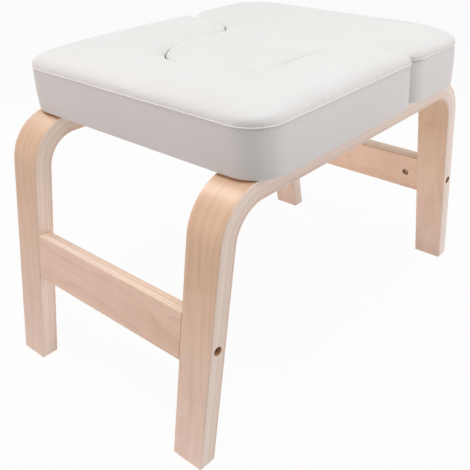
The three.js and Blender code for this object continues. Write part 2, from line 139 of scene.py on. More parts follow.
floor_mesh = bpy.data.meshes.new("floor")
floor_mesh.from_pydata([(-6, -6, 0), (6, -6, 0), (6, 6, 0), (-6, 6, 0)], [], [(0, 1, 2, 3)])
floor = bpy.data.objects.new("floor", floor_mesh)
bpy.context.scene.collection.objects.link(floor)
floor_look = bpy.data.materials.new("pale_floor")
floor_look.use_nodes = True
ground = floor_look.node_tree
ground.nodes.clear()
matt = shader_node(ground, "ShaderNodeBsdfDiffuse", Color=(0.86, 0.86, 0.86, 1))
glow = shader_node(ground, "ShaderNodeEmission", Color=(1, 1, 1, 1), Strength=1.0)
floor_out = shader_node(ground, "ShaderNodeOutputMaterial")
join(ground, [(show_as(ground, matt, glow, 0.95).outputs[0], floor_out.inputs["Surface"])])
floor_mesh.materials.append(floor_look)


# %% Lamps
def lamp(name, place, aim, size, power, tint):
    light = bpy.data.lights.new(name, "AREA")
    light.shape, light.size, light.energy, light.color = "SQUARE", size, power, tint
    holder = bpy.data.objects.new(name, light)
    bpy.context.scene.collection.objects.link(holder)
    holder.location = place
    holder.rotation_euler = (Vector(aim) - Vector(place)).to_track_quat("-Z", "Y").to_euler()
    return holder


lamp("above_back", (0.2, 0.9, 1.8), (0, 0, 0.3), 1.4, 7.5, (0.92, 1.0, 0.97))
lamp("above_front", (0.4, -0.5, 1.9), (0, 0, 0.3), 1.4, 19.5, (0.99, 1.0, 1.0))
lamp("above_left", (-1.2, -0.35, 1.7), (0, 0, 0.3), 0.65, 8.2, (1.0, 1.0, 1.0))
lamp("right_side", (1.8, 1.0, 0.8), (0, 0, 0.25), 1.2, 15.6, (1.0, 0.91, 0.92))
warm = lamp("left_front", (-1.65, -2.05, 0.8), (0, 0, 0.2), 1.4, 20.2, (1.0, 0.82, 0.80))
warm.visible_glossy = False
table = lamp("lit_table", (0, -0.03, 0.004), (0, -0.03, 1), 0.34, 0.33, (1.0, 0.95, 0.92))
table.visible_camera = False

# %% [markdown]
# ## Helpers for finishes
# A finish is written as a node group when more than one piece wears it. The group gives colour,
# roughness and height, and each piece's material turns the height into bump. Grain has to follow
# the wood, so the wooden pieces carry their own map: metres along the grain and across it, and
# metres down through the layers.

# %% Node group helpers
def finish_group(name, sockets, results):
    tree = bpy.data.node_groups.new(name, "ShaderNodeTree")
    for label, kind, value in sockets:
        made = tree.interface.new_socket(label, in_out="INPUT", socket_type=kind)
        if value is not None:
            made.default_value = value
    for label, kind in results:
        tree.interface.new_socket(label, in_out="OUTPUT", socket_type=kind)
    return tree, tree.nodes.new("NodeGroupInput"), tree.nodes.new("NodeGroupOutput")


def number(tree, operation, first, second, third=None):
    """A math node on sockets or plain numbers."""
    made = shader_node(tree, "ShaderNodeMath", operation=operation)
    for slot, value in zip(made.inputs, (first, second, third)):
        if isinstance(value, (int, float)):
            slot.default_value = value
        elif value is not None:
            tree.links.new(value, slot)
    return made.outputs[0]


def stretched(tree, vector, scale):
    made = shader_node(tree, "ShaderNodeMapping")
    made.inputs["Scale"].default_value = scale
    tree.links.new(vector, made.inputs["Vector"])
    return made.outputs["Vector"]


def noise(tree, vector, scale, detail=3.0, rough=0.5):
    made = shader_node(tree, "ShaderNodeTexNoise", Scale=scale, Detail=detail, Roughness=rough)
    tree.links.new(vector, made.inputs["Vector"])
    return made.outputs["Fac"]


def blend(tree, share, first, second):
    made = shader_node(tree, "ShaderNodeMix", data_type="RGBA")
    colours = [slot for slot in made.inputs if slot.type == "RGBA"]
    for slot, value in ((made.inputs[0], share), (colours[0], first), (colours[1], second)):
        if isinstance(value, (int, float, tuple)):
            slot.default_value = value
        else:
            tree.links.new(value, slot)
    return next(result for result in made.outputs if result.type == "RGBA")


def spread(tree, value, low, high, to_low=0.0, to_high=1.0):
    made = shader_node(tree, "ShaderNodeMapRange")
    for name, amount in (("From Min", low), ("From Max", high), ("To Min", to_low), ("To Max", to_high)):
        made.inputs[name].default_value = amount
    tree.links.new(value, made.inputs["Value"])
    return made.outputs["Result"]


COLOUR, VALUE, VECTOR = "NodeSocketColor", "NodeSocketFloat", "NodeSocketVector"
FINISH_RESULTS = [("Colour", COLOUR), ("Roughness", VALUE), ("Height", VALUE)]

# %% [markdown]
# ## Birch veneer
# Rotary-cut birch is nearly white to pinkish beige. It has fine pores drawn out along the grain,
# and slow, wavy growth figures where the knife left the growth rings. Pores are noise squeezed
# hard across the grain. The figure is a set of rings bent by slower noise, each ring darkening
# to its late wood and then stopping short. A faint ripple lies across the grain.

# %% Birch veneer group
veneer, v_in, v_out = finish_group(
    "birch_veneer",
    [("Grain", VECTOR, None), ("Pale", COLOUR, (0.8, 0.66, 0.5, 1)),
     ("Dark", COLOUR, (0.6, 0.42, 0.28, 1)), ("Figure", VALUE, 0.5), ("Sheen", VALUE, 0.42)],
    FINISH_RESULTS)
grain = v_in.outputs["Grain"]
wander = noise(veneer, stretched(veneer, grain, (2.8, 14.0, 14.0)), 1.0, 2.0)
parts = shader_node(veneer, "ShaderNodeSeparateXYZ")
join(veneer, [(grain, parts.inputs[0])])
ring_place = number(veneer, "MULTIPLY_ADD", parts.outputs["Y"], 60.0,
                    number(veneer, "MULTIPLY", wander, 7.0))
lines = noise(veneer, stretched(veneer, grain, (3.5, 170.0, 170.0)), 1.0, 3.0, 0.6)
ring_soft = number(veneer, "POWER", number(veneer, "FRACT", ring_place, 0.0), 2.2)
ripple = noise(veneer, stretched(veneer, grain, (42.0, 11.0, 11.0)), 1.0, 2.0)
pores = noise(veneer, stretched(veneer, grain, (14.0, 900.0, 900.0)), 1.0, 3.0, 0.6)
flecks = noise(veneer, stretched(veneer, grain, (45.0, 2600.0, 2600.0)), 1.0, 2.0, 0.6)
cloud = noise(veneer, stretched(veneer, grain, (5.0, 16.0, 16.0)), 1.0, 3.0)
streak = number(veneer, "MULTIPLY", v_in.outputs["Figure"],
                number(veneer, "ADD", ring_soft, spread(veneer, ripple, 0.38, 0.66, -0.2, 0.35)))
streak = number(veneer, "ADD", streak, spread(veneer, lines, 0.35, 0.68, -0.07, 0.16))
depth_sum = number(veneer, "ADD", streak, spread(veneer, pores, 0.5, 0.75, 0.0, 0.35))
depth_all = number(veneer, "ADD", depth_sum, spread(veneer, cloud, 0.35, 0.7, -0.08, 0.22))
fleck_mask = spread(veneer, flecks, 0.62, 0.72, 0.0, 0.3)
darkness = number(veneer, "ADD", depth_all, fleck_mask)
clamped = spread(veneer, darkness, 0.0, 1.0)
join(veneer, [
    (blend(veneer, clamped, v_in.outputs["Pale"], v_in.outputs["Dark"]), v_out.inputs["Colour"]),
    (number(veneer, "MULTIPLY_ADD", pores, 0.14, v_in.outputs["Sheen"]), v_out.inputs["Roughness"]),
    (number(veneer, "SUBTRACT", spread(veneer, pores, 0.4, 0.7, 0.6, 0.0), fleck_mask),
     v_out.inputs["Height"])])
print("veneer group:", len(veneer.nodes), "nodes")

# %% [markdown]
# ## Plywood edges
# Where a board or band is sawn, its layers show as stripes of slightly different tan, each
# divided by a thin dark line of glue. The stripes are counted off from the depth through the
# thickness, with a little wander, and each layer number picks its own shade.

# %% Plywood edge group
edge, e_in, e_out = finish_group(
    "ply_edge",
    [("Grain", VECTOR, None), ("Depth", VALUE, 0.0), ("Layer", VALUE, 0.0015),
     ("Pale", COLOUR, (0.8, 0.66, 0.5, 1)), ("Dark", COLOUR, (0.6, 0.42, 0.28, 1)),
     ("Contrast", VALUE, 0.5), ("Sheen", VALUE, 0.5)],
    FINISH_RESULTS)
waver = noise(edge, stretched(edge, e_in.outputs["Grain"], (9.0, 30.0, 30.0)), 1.0, 2.0)
count = number(edge, "DIVIDE", e_in.outputs["Depth"], e_in.outputs["Layer"])
count = number(edge, "ADD", count, spread(edge, waver, 0.0, 1.0, -0.12, 0.12))
layer = number(edge, "FLOOR", count, 0.0)
within = number(edge, "FRACT", count, 0.0)
from_glue = number(edge, "ABSOLUTE", number(edge, "SUBTRACT", within, 0.5), 0.0)
glue = spread(edge, from_glue, 0.36, 0.5)
shade = shader_node(edge, "ShaderNodeTexWhiteNoise", noise_dimensions="1D")
join(edge, [(layer, shade.inputs["W"])])
odd = number(edge, "MODULO", number(edge, "ABSOLUTE", layer, 0.0), 2.0)
ends = noise(edge, stretched(edge, e_in.outputs["Grain"], (420.0, 420.0, 1400.0)), 1.0, 2.0, 0.7)
streaks = noise(edge, stretched(edge, e_in.outputs["Grain"], (22.0, 500.0, 1500.0)), 1.0, 2.0, 0.6)
fibre = number(edge, "MULTIPLY_ADD", odd, number(edge, "SUBTRACT", ends, streaks), streaks)
bundle = shader_node(edge, "ShaderNodeTexWhiteNoise", noise_dimensions="1D")
pair = number(edge, "FLOOR", number(edge, "MULTIPLY_ADD", count, 0.43, 0.3), 0.0)
join(edge, [(pair, bundle.inputs["W"])])
tone = number(edge, "ADD", number(edge, "MULTIPLY", odd, 0.35),
              number(edge, "MULTIPLY", shade.outputs["Value"], 0.35))
tone = number(edge, "MULTIPLY_ADD", bundle.outputs["Value"], 0.5, tone)
tone = number(edge, "ADD", tone, spread(edge, fibre, 0.35, 0.7, -0.12, 0.35))
tone = number(edge, "MULTIPLY", number(edge, "SUBTRACT", tone, 0.28), 1.25)
tone = number(edge, "ADD", number(edge, "MULTIPLY", tone, e_in.outputs["Contrast"]),
              number(edge, "MULTIPLY", glue, 0.42))
join(edge, [
    (blend(edge, spread(edge, tone, 0.0, 1.0), e_in.outputs["Pale"], e_in.outputs["Dark"]),
     e_out.inputs["Colour"]),
    (number(edge, "MULTIPLY_ADD", fibre, 0.15, e_in.outputs["Sheen"]), e_out.inputs["Roughness"]),
    (number(edge, "MULTIPLY_ADD", glue, -0.6, number(edge, "MULTIPLY", fibre, 0.3)),
     e_out.inputs["Height"])])
print("ply edge group:", len(edge.nodes), "nodes")

# %% [markdown]
# ## Finished wood
# A wooden piece wears both groups at once: veneer on its faces and layers on its sawn edges. Its
# map "ply" holds the depth and a mask that is 1 on the sawn sides. A thin clear lacquer gives the
# band its soft shine, so the coat stays smooth while the wood under it has the grain's bump. The
# bands are golden under the bends and are painted paler and pinker toward the feet, by height:
# painted light, where the bright floor lights the legs. The left band is painted a shade darker
# toward its near leg: painted shade.

# %% Wood material maker
def group_node(tree, group, **values):
    made = tree.nodes.new("ShaderNodeGroup")
    made.node_tree = group
    for name, value in values.items():
        made.inputs[name.replace("_", " ")].default_value = value
    return made


def surface(name):
    look = bpy.data.materials.new(name)
    look.use_nodes = True
    tree = look.node_tree
    tree.nodes.clear()
    shader = tree.nodes.new("ShaderNodeBsdfPrincipled")
    join(tree, [(shader.outputs[0], tree.nodes.new("ShaderNodeOutputMaterial").inputs["Surface"])])
    return look, tree, shader


def add_bump(tree, shader, height, strength, distance):
    bump = shader_node(tree, "ShaderNodeBump", Strength=strength, Distance=distance)
    join(tree, [(height, bump.inputs["Height"]), (bump.outputs[0], shader.inputs["Normal"])])
    return bump


# %% Painted light toward the feet and painted shade on the near left leg
# Painted light: the heights between which the legs are painted paler toward the feet. Painted shade: where
# the near left leg's darkening starts and ends, its colour and its share.
FOOT_LIGHT_LOW, FOOT_LIGHT_HIGH, DARKER_FROM, DARKER_TO = (v * MM for v in (20, 230, -380, -180))
NEAR_LEFT_SHADE, NEAR_LEFT_SHADE_SHARE = (0.45, 0.24, 0.12, 1), 0.2


def paint_leg_light_and_shade(tree, face, tones, foot_tones):
    """Paints the face's tones paler toward the foot, as painted light, and darker toward the near left leg,
    as painted shade.
    """
    place = shader_node(tree, "ShaderNodeTexCoord")
    parted = shader_node(tree, "ShaderNodeSeparateXYZ")
    join(tree, [(place.outputs["Object"], parted.inputs[0])])
    # Painted light: paler toward the feet, where the bright floor lights the legs.
    low = spread(tree, parted.outputs["Z"], FOOT_LIGHT_LOW, FOOT_LIGHT_HIGH, 1.0, 0.0)
    # Painted shade: darker toward the near left leg.
    corner = number(tree, "ADD", parted.outputs["X"], parted.outputs["Y"])
    near_left = spread(tree, corner, DARKER_FROM, DARKER_TO, NEAR_LEFT_SHADE_SHARE, 0.0)
    for label, tone, foot_tone in zip(("Pale", "Dark"), tones, foot_tones):
        by_height = blend(tree, low, tone, foot_tone)
        join(tree, [(blend(tree, near_left, by_height, NEAR_LEFT_SHADE), face.inputs[label])])


# %% Mapped wood
def mapped_wood(name, pale, dark, edge_pale, edge_dark, layer, figure, coat, contrast=0.5, feet=None):
    look, tree, shader = surface(name)
    grain_map = shader_node(tree, "ShaderNodeUVMap", uv_map="grain")
    ply_map = shader_node(tree, "ShaderNodeUVMap", uv_map="ply")
    split = shader_node(tree, "ShaderNodeSeparateXYZ")
    grain_split = shader_node(tree, "ShaderNodeSeparateXYZ")
    place = shader_node(tree, "ShaderNodeCombineXYZ")
    face = group_node(tree, veneer, Pale=pale, Dark=dark, Figure=figure, Sheen=0.42)
    side = group_node(tree, edge, Pale=edge_pale, Dark=edge_dark, Layer=layer, Contrast=contrast,
                      Sheen=0.46)
    join(tree, [(ply_map.outputs[0], split.inputs[0]), (grain_map.outputs[0], grain_split.inputs[0]),
                (grain_split.outputs["X"], place.inputs["X"]),
                (grain_split.outputs["Y"], place.inputs["Y"]),
                (split.outputs["X"], place.inputs["Z"]), (place.outputs[0], face.inputs["Grain"]),
                (place.outputs[0], side.inputs["Grain"]), (split.outputs["X"], side.inputs["Depth"])])
    # Paints light toward the feet and shade on the near left leg.
    if feet:
        paint_leg_light_and_shade(tree, face, (pale, dark), feet)
    sawn = spread(tree, split.outputs["Y"], 0.3, 0.7)
    join(tree, [(blend(tree, sawn, face.outputs["Colour"], side.outputs["Colour"]),
                 shader.inputs["Base Color"])])
    for result, slot in (("Roughness", "Roughness"), ("Height", None)):
        pick = shader_node(tree, "ShaderNodeMix", data_type="FLOAT")
        join(tree, [(sawn, pick.inputs[0]), (face.outputs[result], pick.inputs[2]),
                    (side.outputs[result], pick.inputs[3])])
        if slot:
            join(tree, [(pick.outputs[0], shader.inputs[slot])])
        else:
            add_bump(tree, shader, pick.outputs[0], 0.3, 0.0001)
    shader.inputs["Coat Weight"].default_value = coat
    shader.inputs["Coat Roughness"].default_value = 0.3
    shader.inputs["Specular IOR Level"].default_value = 0.4
    return look


# %% Wood of the bands and of the rails
# feet holds painted light: the paler tones the legs are painted near the floor.
band_wood = mapped_wood(
    "lacquered_bent_birch", pale=(0.79, 0.53, 0.35, 1), dark=(0.60, 0.345, 0.20, 1),
    edge_pale=(0.94, 0.80, 0.70, 1), edge_dark=(0.62, 0.40, 0.285, 1), layer=1.5 * MM, figure=0.26,
    coat=1.0, contrast=0.6, feet=((0.96, 0.74, 0.61, 1), (0.76, 0.51, 0.38, 1)))
rail_wood = mapped_wood(
    "lacquered_birch_board", pale=(0.90, 0.65, 0.50, 1), dark=(0.69, 0.43, 0.30, 1),
    edge_pale=(0.97, 0.82, 0.69, 1), edge_dark=(0.66, 0.42, 0.28, 1), layer=1.46 * MM, figure=0.3,
    coat=0.5, contrast=0.95)
print("wood looks:", band_wood.name, rail_wood.name)

# %% [markdown]
# ## White synthetic leather
# The covers are a coated fabric with a fine pebbled grain, about a millimetre from pebble to
# pebble. Cell noise gives the pebbles, and a softer noise breaks up their rows. The grain is too
# fine to model as a shape, so it is bump, and the coating shines a little less in the valleys.
# Beside the piping the leather is gathered into fine upright folds, noise drawn out in height.

# %% Leather group
hide, h_in, h_out = finish_group(
    "pebbled_coating",
    [("Place", VECTOR, None), ("White", COLOUR, (0.9, 0.89, 0.88, 1)),
     ("Shade", COLOUR, (0.84, 0.83, 0.82, 1)), ("Pebble", VALUE, 900.0), ("Sheen", VALUE, 0.4)],
    FINISH_RESULTS)
unrest = noise(hide, h_in.outputs["Place"], 260.0, 2.0)
bend_place = shader_node(hide, "ShaderNodeVectorMath", operation="MULTIPLY_ADD")
bend_place.inputs[1].default_value = (0.0012, 0.0012, 0.0012)
join(hide, [(unrest, bend_place.inputs[0]), (h_in.outputs["Place"], bend_place.inputs[2])])
cells = shader_node(hide, "ShaderNodeTexVoronoi", feature="DISTANCE_TO_EDGE")
join(hide, [(bend_place.outputs[0], cells.inputs["Vector"]),
            (h_in.outputs["Pebble"], cells.inputs["Scale"])])
pebble = spread(hide, cells.outputs["Distance"], 0.0, 0.28)
creases = noise(hide, h_in.outputs["Place"], 70.0, 4.0, 0.6)
tint = noise(hide, h_in.outputs["Place"], 14.0, 3.0)
# The valleys between the pebbles take more of the Shade colour: painted shade in the grain. The slow tint
# is the coating's own uneven tone.
join(hide, [
    (blend(hide, number(hide, "MULTIPLY_ADD", pebble, -0.35,
                        spread(hide, tint, 0.3, 0.7, 0.3, 0.75)),
           h_in.outputs["White"], h_in.outputs["Shade"]), h_out.inputs["Colour"]),
    (number(hide, "SUBTRACT", number(hide, "MULTIPLY_ADD", creases, 0.1, h_in.outputs["Sheen"]),
            number(hide, "MULTIPLY", pebble, 0.07)), h_out.inputs["Roughness"]),
    (number(hide, "MULTIPLY_ADD", creases, 0.5, pebble), h_out.inputs["Height"])])


PIPING_Z = 370.5 * MM


def leather(name, white, shade, pebble, strength, sheen, folds):
    look, tree, shader = surface(name)
    place = shader_node(tree, "ShaderNodeTexCoord")
    coating = group_node(tree, hide, White=white, Shade=shade, Pebble=pebble, Sheen=sheen)
    split = shader_node(tree, "ShaderNodeSeparateXYZ")
    join(tree, [(place.outputs["Object"], coating.inputs["Place"]),
                (place.outputs["Object"], split.inputs[0]),
                (coating.outputs["Colour"], shader.inputs["Base Color"]),
                (coating.outputs["Roughness"], shader.inputs["Roughness"])])
    gathers = noise(tree, stretched(tree, place.outputs["Object"], (210.0, 210.0, 26.0)), 1.0, 2.0)
    close = number(tree, "MULTIPLY",
                   spread(tree, split.outputs["Z"], PIPING_Z - 14 * MM, PIPING_Z - 2 * MM),
                   spread(tree, split.outputs["Z"], PIPING_Z + 9 * MM, PIPING_Z))
    patchy = spread(tree, noise(tree, place.outputs["Object"], 34.0, 1.0), 0.4, 0.62, 0.15, 1.0)
    depth = number(tree, "MULTIPLY", close, number(tree, "MULTIPLY", patchy, folds))
    folded = number(tree, "MULTIPLY", number(tree, "SUBTRACT", gathers, 0.5), depth)
    add_bump(tree, shader, number(tree, "ADD", coating.outputs["Height"], folded), strength, 0.00012)
    shader.inputs["Specular IOR Level"].default_value = 0.35
    return look


# %% Leather of the covers and of the piping
cover_leather = leather("white_cover_leather", (0.80, 0.79, 0.78, 1), (0.75, 0.735, 0.72, 1),
                        pebble=900.0, strength=0.35, sheen=0.5, folds=26.0)
# The piping's leather is painted a little whiter than the cover's: a painted highlight on the lit crest of
# the cord.
piping_leather = leather("white_piping_leather", (0.84, 0.83, 0.82, 1), (0.79, 0.78, 0.77, 1),
                         pebble=1400.0, strength=0.2, sheen=0.45, folds=0.0)
print("leather looks:", cover_leather.name, piping_leather.name)

# %% [markdown]
# ## Metals and raw wood
# The rails' bolts and barrel nuts have a dark bronze coating, and the other fasteners are bright
# zinc. Zinc dries in small blotches, so its roughness and tint vary with a slow noise. The pads'
# boards are raw plywood, and the dowels and pegs are turned beech.

# %% Metal and raw wood looks
def metal(name, tone, blotch, rough, blotch_size, metallic=1.0):
    look, tree, shader = surface(name)
    place = shader_node(tree, "ShaderNodeTexCoord")
    patches = noise(tree, place.outputs["Object"], blotch_size, 3.0)
    scuffs = noise(tree, stretched(tree, place.outputs["Object"], (900.0, 4200.0, 4200.0)), 1.0, 2.0)
    join(tree, [(blend(tree, spread(tree, patches, 0.35, 0.65), tone, blotch), shader.inputs["Base Color"]),
                (spread(tree, patches, 0.3, 0.7, rough - 0.07, rough + 0.1), shader.inputs["Roughness"])])
    add_bump(tree, shader, scuffs, 0.12, 0.00005)
    shader.inputs["Metallic"].default_value = metallic
    return look


def plain_wood(name, pale, dark, turn, figure):
    """Raw wood read from the object's place, its grain turned to run along the piece."""
    look, tree, shader = surface(name)
    place = shader_node(tree, "ShaderNodeTexCoord")
    aim = shader_node(tree, "ShaderNodeMapping")
    aim.inputs["Rotation"].default_value = turn
    face = group_node(tree, veneer, Pale=pale, Dark=dark, Figure=figure, Sheen=0.68)
    join(tree, [(place.outputs["Object"], aim.inputs["Vector"]), (aim.outputs[0], face.inputs["Grain"]),
                (face.outputs["Colour"], shader.inputs["Base Color"]),
                (face.outputs["Roughness"], shader.inputs["Roughness"])])
    add_bump(tree, shader, face.outputs["Height"], 0.5, 0.00015)
    return look


# %% Metals and raw wood of the fasteners and boards
zinc = metal("bright_zinc", (0.62, 0.63, 0.64, 1), (0.5, 0.51, 0.53, 1), rough=0.32, blotch_size=260.0)
bronze = metal("dark_bronze_coat", (0.46, 0.31, 0.21, 1), (0.36, 0.24, 0.16, 1), rough=0.45,
               blotch_size=320.0, metallic=0.5)
BEECH = ((0.62, 0.43, 0.27, 1), (0.42, 0.26, 0.15, 1))
ALONG_X, ALONG_Y, ALONG_Z = (0, 0, 0), (0, 0, math.pi / 2), (0, math.pi / 2, 0)
raw_board = plain_wood("raw_board", (0.66, 0.50, 0.33, 1), (0.45, 0.30, 0.18, 1), ALONG_Y, figure=0.35)
beech_peg = plain_wood("beech_peg", *BEECH, ALONG_Z, figure=0.1)
beech_dowel = plain_wood("beech_dowel", *BEECH, ALONG_X, figure=0.1)
bore_wood = plain_wood("drilled_wood", (0.66, 0.42, 0.27, 1), (0.46, 0.27, 0.16, 1), ALONG_X, figure=0.1)


def wear(name, look):
    solid = nodes[name]
    solid.data.materials.clear()
    solid.data.materials.append(look)


worn = ((zinc, ("pad_bolt", "pad_washer", "tee_nut")), (bronze, ("rail_bolt", "barrel_nut")),
        (beech_dowel, ("rail_dowel",)), (beech_peg, ("insert_peg",)),
        (raw_board, ("shoulder_pad_board", "insert_pad_board")))
for look, starts in worn:
    dressed = [name for name in nodes if name.startswith(starts)]
    for name in dressed:
        wear(name, look)
    print(look.name, "on", len(dressed), "solids")

# %% [markdown]
# ## Sweeping a section along a path
# A bent band is one section, a rounded rectangle, carried along one path, so it is a job for
# Geometry Nodes: the same tree also makes the rails and the piping, with other inputs. The tree
# notes how far along the path and where in the section each corner lies, which is what the wood
# finish needs.

# %% Sweep tree
def geometry_tree(name, sockets):
    tree = bpy.data.node_groups.new(name, "GeometryNodeTree")
    for label, kind in sockets:
        tree.interface.new_socket(label, in_out="INPUT", socket_type=kind)
    tree.interface.new_socket("Geometry", in_out="OUTPUT", socket_type="NodeSocketGeometry")
    return tree, tree.nodes.new("NodeGroupInput"), tree.nodes.new("NodeGroupOutput")


def store(tree, geometry, name, kind, domain, value):
    made = tree.nodes.new("GeometryNodeStoreNamedAttribute")
    made.data_type, made.domain = kind, domain
    made.inputs["Name"].default_value = name
    join(tree, [(geometry, made.inputs["Geometry"]),
                (value, next(s for s in made.inputs if s.name == "Value" and s.enabled))])
    return made.outputs["Geometry"]


def read(tree, name, kind="FLOAT"):
    made = tree.nodes.new("GeometryNodeInputNamedAttribute")
    made.data_type = kind
    made.inputs["Name"].default_value = name
    return next(s for s in made.outputs if s.name == "Attribute" and s.enabled)


sweep, s_in, s_out = geometry_tree("sweep_section", [
    ("Path", "NodeSocketGeometry"), ("Section", "NodeSocketObject"),
    ("Half Width", "NodeSocketFloat"), ("Foot Share", "NodeSocketFloat"),
    ("Full Height", "NodeSocketFloat"), ("Finish", "NodeSocketMaterial")])
length = sweep.nodes.new("GeometryNodeSplineParameter").outputs["Length"]
path = store(sweep, s_in.outputs["Path"], "along", "FLOAT", "POINT", length)
section = sweep.nodes.new("GeometryNodeObjectInfo")
join(sweep, [(s_in.outputs["Section"], section.inputs["Object"])])
spot = sweep.nodes.new("ShaderNodeSeparateXYZ")
join(sweep, [(sweep.nodes.new("GeometryNodeInputPosition").outputs[0], spot.inputs[0])])
profile = store(sweep, section.outputs["Geometry"], "across", "FLOAT", "POINT", spot.outputs["X"])
profile = store(sweep, profile, "depth", "FLOAT", "POINT", spot.outputs["Y"])
body = sweep.nodes.new("GeometryNodeCurveToMesh")
body.inputs["Fill Caps"].default_value = True
join(sweep, [(path, body.inputs["Curve"]), (profile, body.inputs["Profile Curve"])])
side_mask = number(sweep, "GREATER_THAN", number(sweep, "ABSOLUTE", read(sweep, "across"), 0.0),
                   number(sweep, "SUBTRACT", s_in.outputs["Half Width"], 0.0007))
grain_uv = sweep.nodes.new("ShaderNodeCombineXYZ")
ply_uv = sweep.nodes.new("ShaderNodeCombineXYZ")
join(sweep, [(read(sweep, "along"), grain_uv.inputs["X"]), (read(sweep, "across"), grain_uv.inputs["Y"]),
             (read(sweep, "depth"), ply_uv.inputs["X"]), (side_mask, ply_uv.inputs["Y"])])
shell = store(sweep, body.outputs["Mesh"], "grain", "FLOAT2", "CORNER", grain_uv.outputs[0])
shell = store(sweep, shell, "ply", "FLOAT2", "CORNER", ply_uv.outputs[0])
spot_now = sweep.nodes.new("ShaderNodeSeparateXYZ")
join(sweep, [(sweep.nodes.new("GeometryNodeInputPosition").outputs[0], spot_now.inputs[0])])
rise = number(sweep, "DIVIDE", spot_now.outputs["Z"], s_in.outputs["Full Height"])
share = sweep.nodes.new("ShaderNodeMix")
join(sweep, [(rise, share.inputs[0]), (s_in.outputs["Foot Share"], share.inputs[2])])
share.clamp_factor = False
share.inputs[3].default_value = 1.0
moved = sweep.nodes.new("ShaderNodeCombineXYZ")
join(sweep, [(number(sweep, "MULTIPLY", spot_now.outputs["X"], share.outputs[0]), moved.inputs["X"]),
             (spot_now.outputs["Y"], moved.inputs["Y"]), (spot_now.outputs["Z"], moved.inputs["Z"])])
taper = sweep.nodes.new("GeometryNodeSetPosition")
smooth = sweep.nodes.new("GeometryNodeSetShadeSmooth")
real = sweep.nodes.new("GeometryNodeRealizeInstances")
dress = sweep.nodes.new("GeometryNodeSetMaterial")
join(sweep, [(shell, taper.inputs["Geometry"]), (moved.outputs[0], taper.inputs["Position"]),
             (taper.outputs[0], smooth.inputs[0]), (smooth.outputs[0], real.inputs[0]),
             (real.outputs[0], dress.inputs["Geometry"]),
             (s_in.outputs["Finish"], dress.inputs["Material"]), (dress.outputs[0], s_out.inputs[0])])
print("sweep tree:", len(sweep.nodes), "nodes")


# %% Run a tree and keep its mesh
def curve_object(name, points, closed):
    curve = bpy.data.curves.new(name, "CURVE")
    curve.dimensions = "3D"
    spline = curve.splines.new("POLY")
    spline.points.add(len(points) - 1)
    for target, point in zip(spline.points, points):
        target.co = (*point, 1)
    spline.use_cyclic_u = closed
    holder = bpy.data.objects.new(name, curve)
    bpy.context.scene.collection.objects.link(holder)
    return holder


def grow(tree, carrier, name, values):
    """The mesh that a tree makes from the carrier, as a new object. The carrier goes."""
    modifier = carrier.modifiers.new("tree", "NODES")
    modifier.node_group = tree
    for socket in tree.interface.items_tree:
        if socket.in_out == "INPUT" and socket.name in values:
            modifier[socket.identifier] = values[socket.name]
    evaluated = carrier.evaluated_get(bpy.context.evaluated_depsgraph_get())
    mesh = bpy.data.meshes.new_from_object(evaluated)
    made = bpy.data.objects.new(name, mesh)
    mesh.name = name
    bpy.context.scene.collection.objects.link(made)
    bpy.data.objects.remove(carrier)
    for spare in ("along", "across", "depth"):
        if spare in mesh.attributes:
            mesh.attributes.remove(mesh.attributes[spare])
    return made


# %% [markdown]
# ## Bent side frames
# Each band runs up one leg, round a quarter bend, along under the pads and down again. The path
# is the middle of the band's thickness. It starts below the floor, and a level cut trims the
# feet, as a saw does once the real band has left its mould.

# %% Measures of the bands
FRAME_X, FRAME_TOP, BAND = 153.3 * MM, 318 * MM, 23 * MM
TOP_WIDTH, FOOT_WIDTH = 48 * MM, 44.4 * MM
FOOT_Y, LEAN, BEND = 301 * MM, 0.1982, 65.5 * MM
stretch = math.hypot(1, LEAN)
bend_z = FRAME_TOP - BEND
bend_y = FOOT_Y - LEAN * bend_z - BEND * stretch
middle_radius = BEND - BAND / 2
lean_angle = math.atan(LEAN)


def band_path():
    """Half of the band's middle line, from below the far foot to the middle of the top."""
    down = Vector((0, math.sin(lean_angle), -math.cos(lean_angle)))
    start = Vector((0, bend_y + middle_radius * math.cos(lean_angle),
                    bend_z + middle_radius * math.sin(lean_angle)))
    run = (start.z + 0.02) / math.cos(lean_angle)
    half = [start + down * run * k / 14 for k in range(14, 0, -1)]
    for k in range(29):
        turn = lean_angle + (math.pi / 2 - lean_angle) * k / 28
        half.append(Vector((0, bend_y + middle_radius * math.cos(turn),
                            bend_z + middle_radius * math.sin(turn))))
    half += [Vector((0, bend_y * (1 - k / 10), FRAME_TOP - BAND / 2)) for k in range(1, 10)]
    return half


far_half = band_path()
near_half = [Vector((0, -p.y, p.z)) for p in reversed(far_half)]
whole_path = far_half + [Vector((0, 0, FRAME_TOP - BAND / 2))] + near_half
print("band path:", len(whole_path), "points")


# %% Rounded section
def rounded_section(name, width, height, round_edge, steps=4, guard=0.5 * MM):
    """A rectangle with round corners. Guard points beside each corner keep its flats flat."""
    points = []
    for sx, sy, first in ((1, 1, 0), (-1, 1, 90), (-1, -1, 180), (1, -1, 270)):
        cx, cy = sx * (width / 2 - round_edge), sy * (height / 2 - round_edge)
        arc = [(cx + round_edge * math.cos(math.radians(first + 90 * k / steps)),
                cy + round_edge * math.sin(math.radians(first + 90 * k / steps)))
               for k in range(steps + 1)]
        along_x, along_y = (-sx * guard, 0), (0, -sy * guard)
        before, after = (along_y, along_x) if first in (0, 180) else (along_x, along_y)
        enter = (arc[0][0] + before[0], arc[0][1] + before[1])
        leave = (arc[-1][0] + after[0], arc[-1][1] + after[1])
        points += [enter, *arc, leave]
    return curve_object(name, [(x, y, 0) for x, y in points], True)


